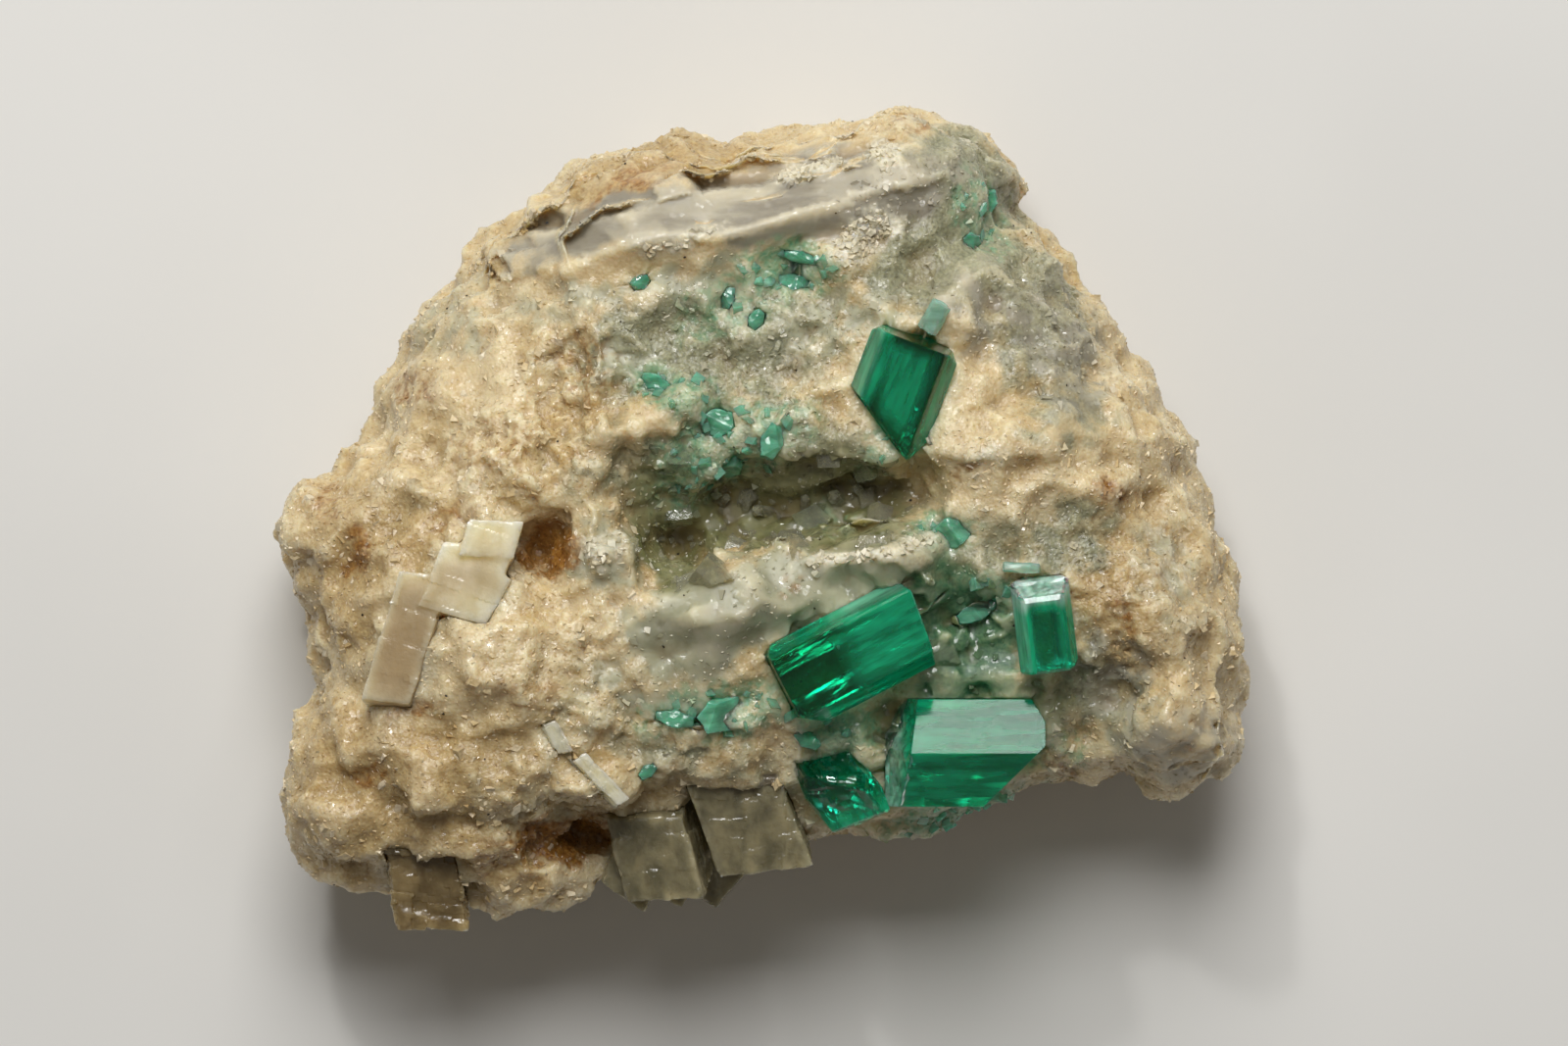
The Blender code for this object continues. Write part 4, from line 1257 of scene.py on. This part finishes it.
def cleavage_calcite(name, clear, cloudy, edge, transmission):
    """Clean calcite: lets light deep in, with flat cleavage faces, veils and chipped edges."""
    made, tree = new_material(name)
    own = add_node(tree, "ShaderNodeAttribute", attribute_name="own").outputs["Vector"]
    place = add_node(tree, "ShaderNodeTexCoord").outputs["Object"]
    veils = add_node(
        tree, "ShaderNodeTexNoise", {"Vector": own}, Scale=0.7, Detail=4.0, Distortion=0.3
    )
    veil = ranged(tree, veils.outputs["Fac"], 0.3, 0.75)
    chipped = painted(tree, "chipped")
    colour = mixed(tree, veil, clear, cloudy)
    colour = mixed(tree, size_noise(tree, place, 0.5, contrast=(0.5, 0.8)), colour, cloudy)
    # Painted shade: darker greyish tan where the dim zone lies.
    colour = mixed(tree, painted(tree, "dim"), colour, "#AD9670")
    # Chipped edges are whiter calcite; the rim lightening is a painted glow, light passing through
    # the edges.
    chips_and_rim_glow = calculated(tree, "MAXIMUM", chipped, painted(tree, "rim"))
    colour = mixed(tree, calculated(tree, "MULTIPLY", chips_and_rim_glow, 0.75), colour, edge)
    bump = add_node(
        tree, "ShaderNodeBump", {"Height": size_noise(tree, place, 0.3)}, Strength=0.25,
        Distance=0.05 * MM,
    )
    share = calculated(tree, "SUBTRACT", 1.0, calculated(tree, "MAXIMUM", chipped, veil))
    skin = add_node(
        tree, "ShaderNodeBsdfPrincipled",
        {
            "Base Color": colour,
            "Roughness": ranged(tree, chipped, 0.0, 1.0, 0.2, 0.45),
            "Transmission Weight": calculated(tree, "MULTIPLY", share, transmission),
            "Normal": bump.outputs["Normal"],
        },
        Subsurface_Weight=0.9, Subsurface_Scale=2.6 * MM, Subsurface_Radius=(1.0, 0.9, 0.7),
        IOR=1.6,
    )
    output(tree, skin.outputs["BSDF"])
    return made


def studio_floor():
    """A matt painted board."""
    made, tree = new_material("matt_board")
    place = add_node(tree, "ShaderNodeTexCoord").outputs["Object"]
    tone = mixed(tree, size_noise(tree, place, 60.0), "#D9D7D2", "#DEDCD7")
    board = add_node(tree, "ShaderNodeBsdfPrincipled", {"Base Color": tone}, Roughness=0.9)
    output(tree, board.outputs["BSDF"])
    return made


# --- stage ---


def floor():
    bpy.ops.mesh.primitive_plane_add(size=1.6, location=(0, 0, 0))
    board = bpy.context.object
    board.name = "floor"
    board.data.materials.append(studio_floor())


def softbox(name, toward, elevation, distance, width, height, power):
    """An area light. toward is its compass bearing in degrees from +X, anticlockwise."""
    lamp = bpy.data.lights.new(name, "AREA")
    lamp.shape = "RECTANGLE"
    lamp.size, lamp.size_y = width * MM, height * MM
    lamp.energy = power
    obj = bpy.data.objects.new(name, lamp)
    bearing, rise = math.radians(toward), math.radians(elevation)
    out = Vector((
        math.cos(bearing) * math.cos(rise), math.sin(bearing) * math.cos(rise), math.sin(rise)
    ))
    obj.location = Vector(LOOK_AT) * MM + out * distance * MM
    obj.rotation_euler = out.to_track_quat("Z", "Y").to_euler()
    bpy.context.scene.collection.objects.link(obj)


def stage():
    floor()
    softbox("window_box", 90, 32, 500, 260, 170, 0.6)
    softbox("key_box", 94, 60, 520, 240, 240, 2.0)
    softbox("spot_box", 108, 50, 600, 34, 34, 0.45)
    world = bpy.data.worlds.new("studio")
    bpy.context.scene.world = world
    world.use_nodes = True
    world.node_tree.nodes["Background"].inputs["Color"].default_value = linear("#F4F1EC")
    world.node_tree.nodes["Background"].inputs["Strength"].default_value = 0.15
    lens = bpy.data.cameras.new("camera")
    lens.lens, lens.sensor_width = LENS, SENSOR
    lens.clip_start, lens.clip_end = 0.01, 10.0
    camera = bpy.data.objects.new("camera", lens)
    camera.location = (Vector(LOOK_AT) + Vector((0, 0, CAMERA_DISTANCE))) * MM
    bpy.context.scene.collection.objects.link(camera)
    bpy.context.scene.camera = camera
    bpy.context.scene.view_settings.view_transform = "Standard"


def build():
    stone = calcite_rock()
    rock = matrix_rock(stone)
    sugar_grains(rock, stone)
    emeralds(rock)
    calcite_crystals()
    clear_fragments(rock)
    quartz_points(rock)
    stage()


build()
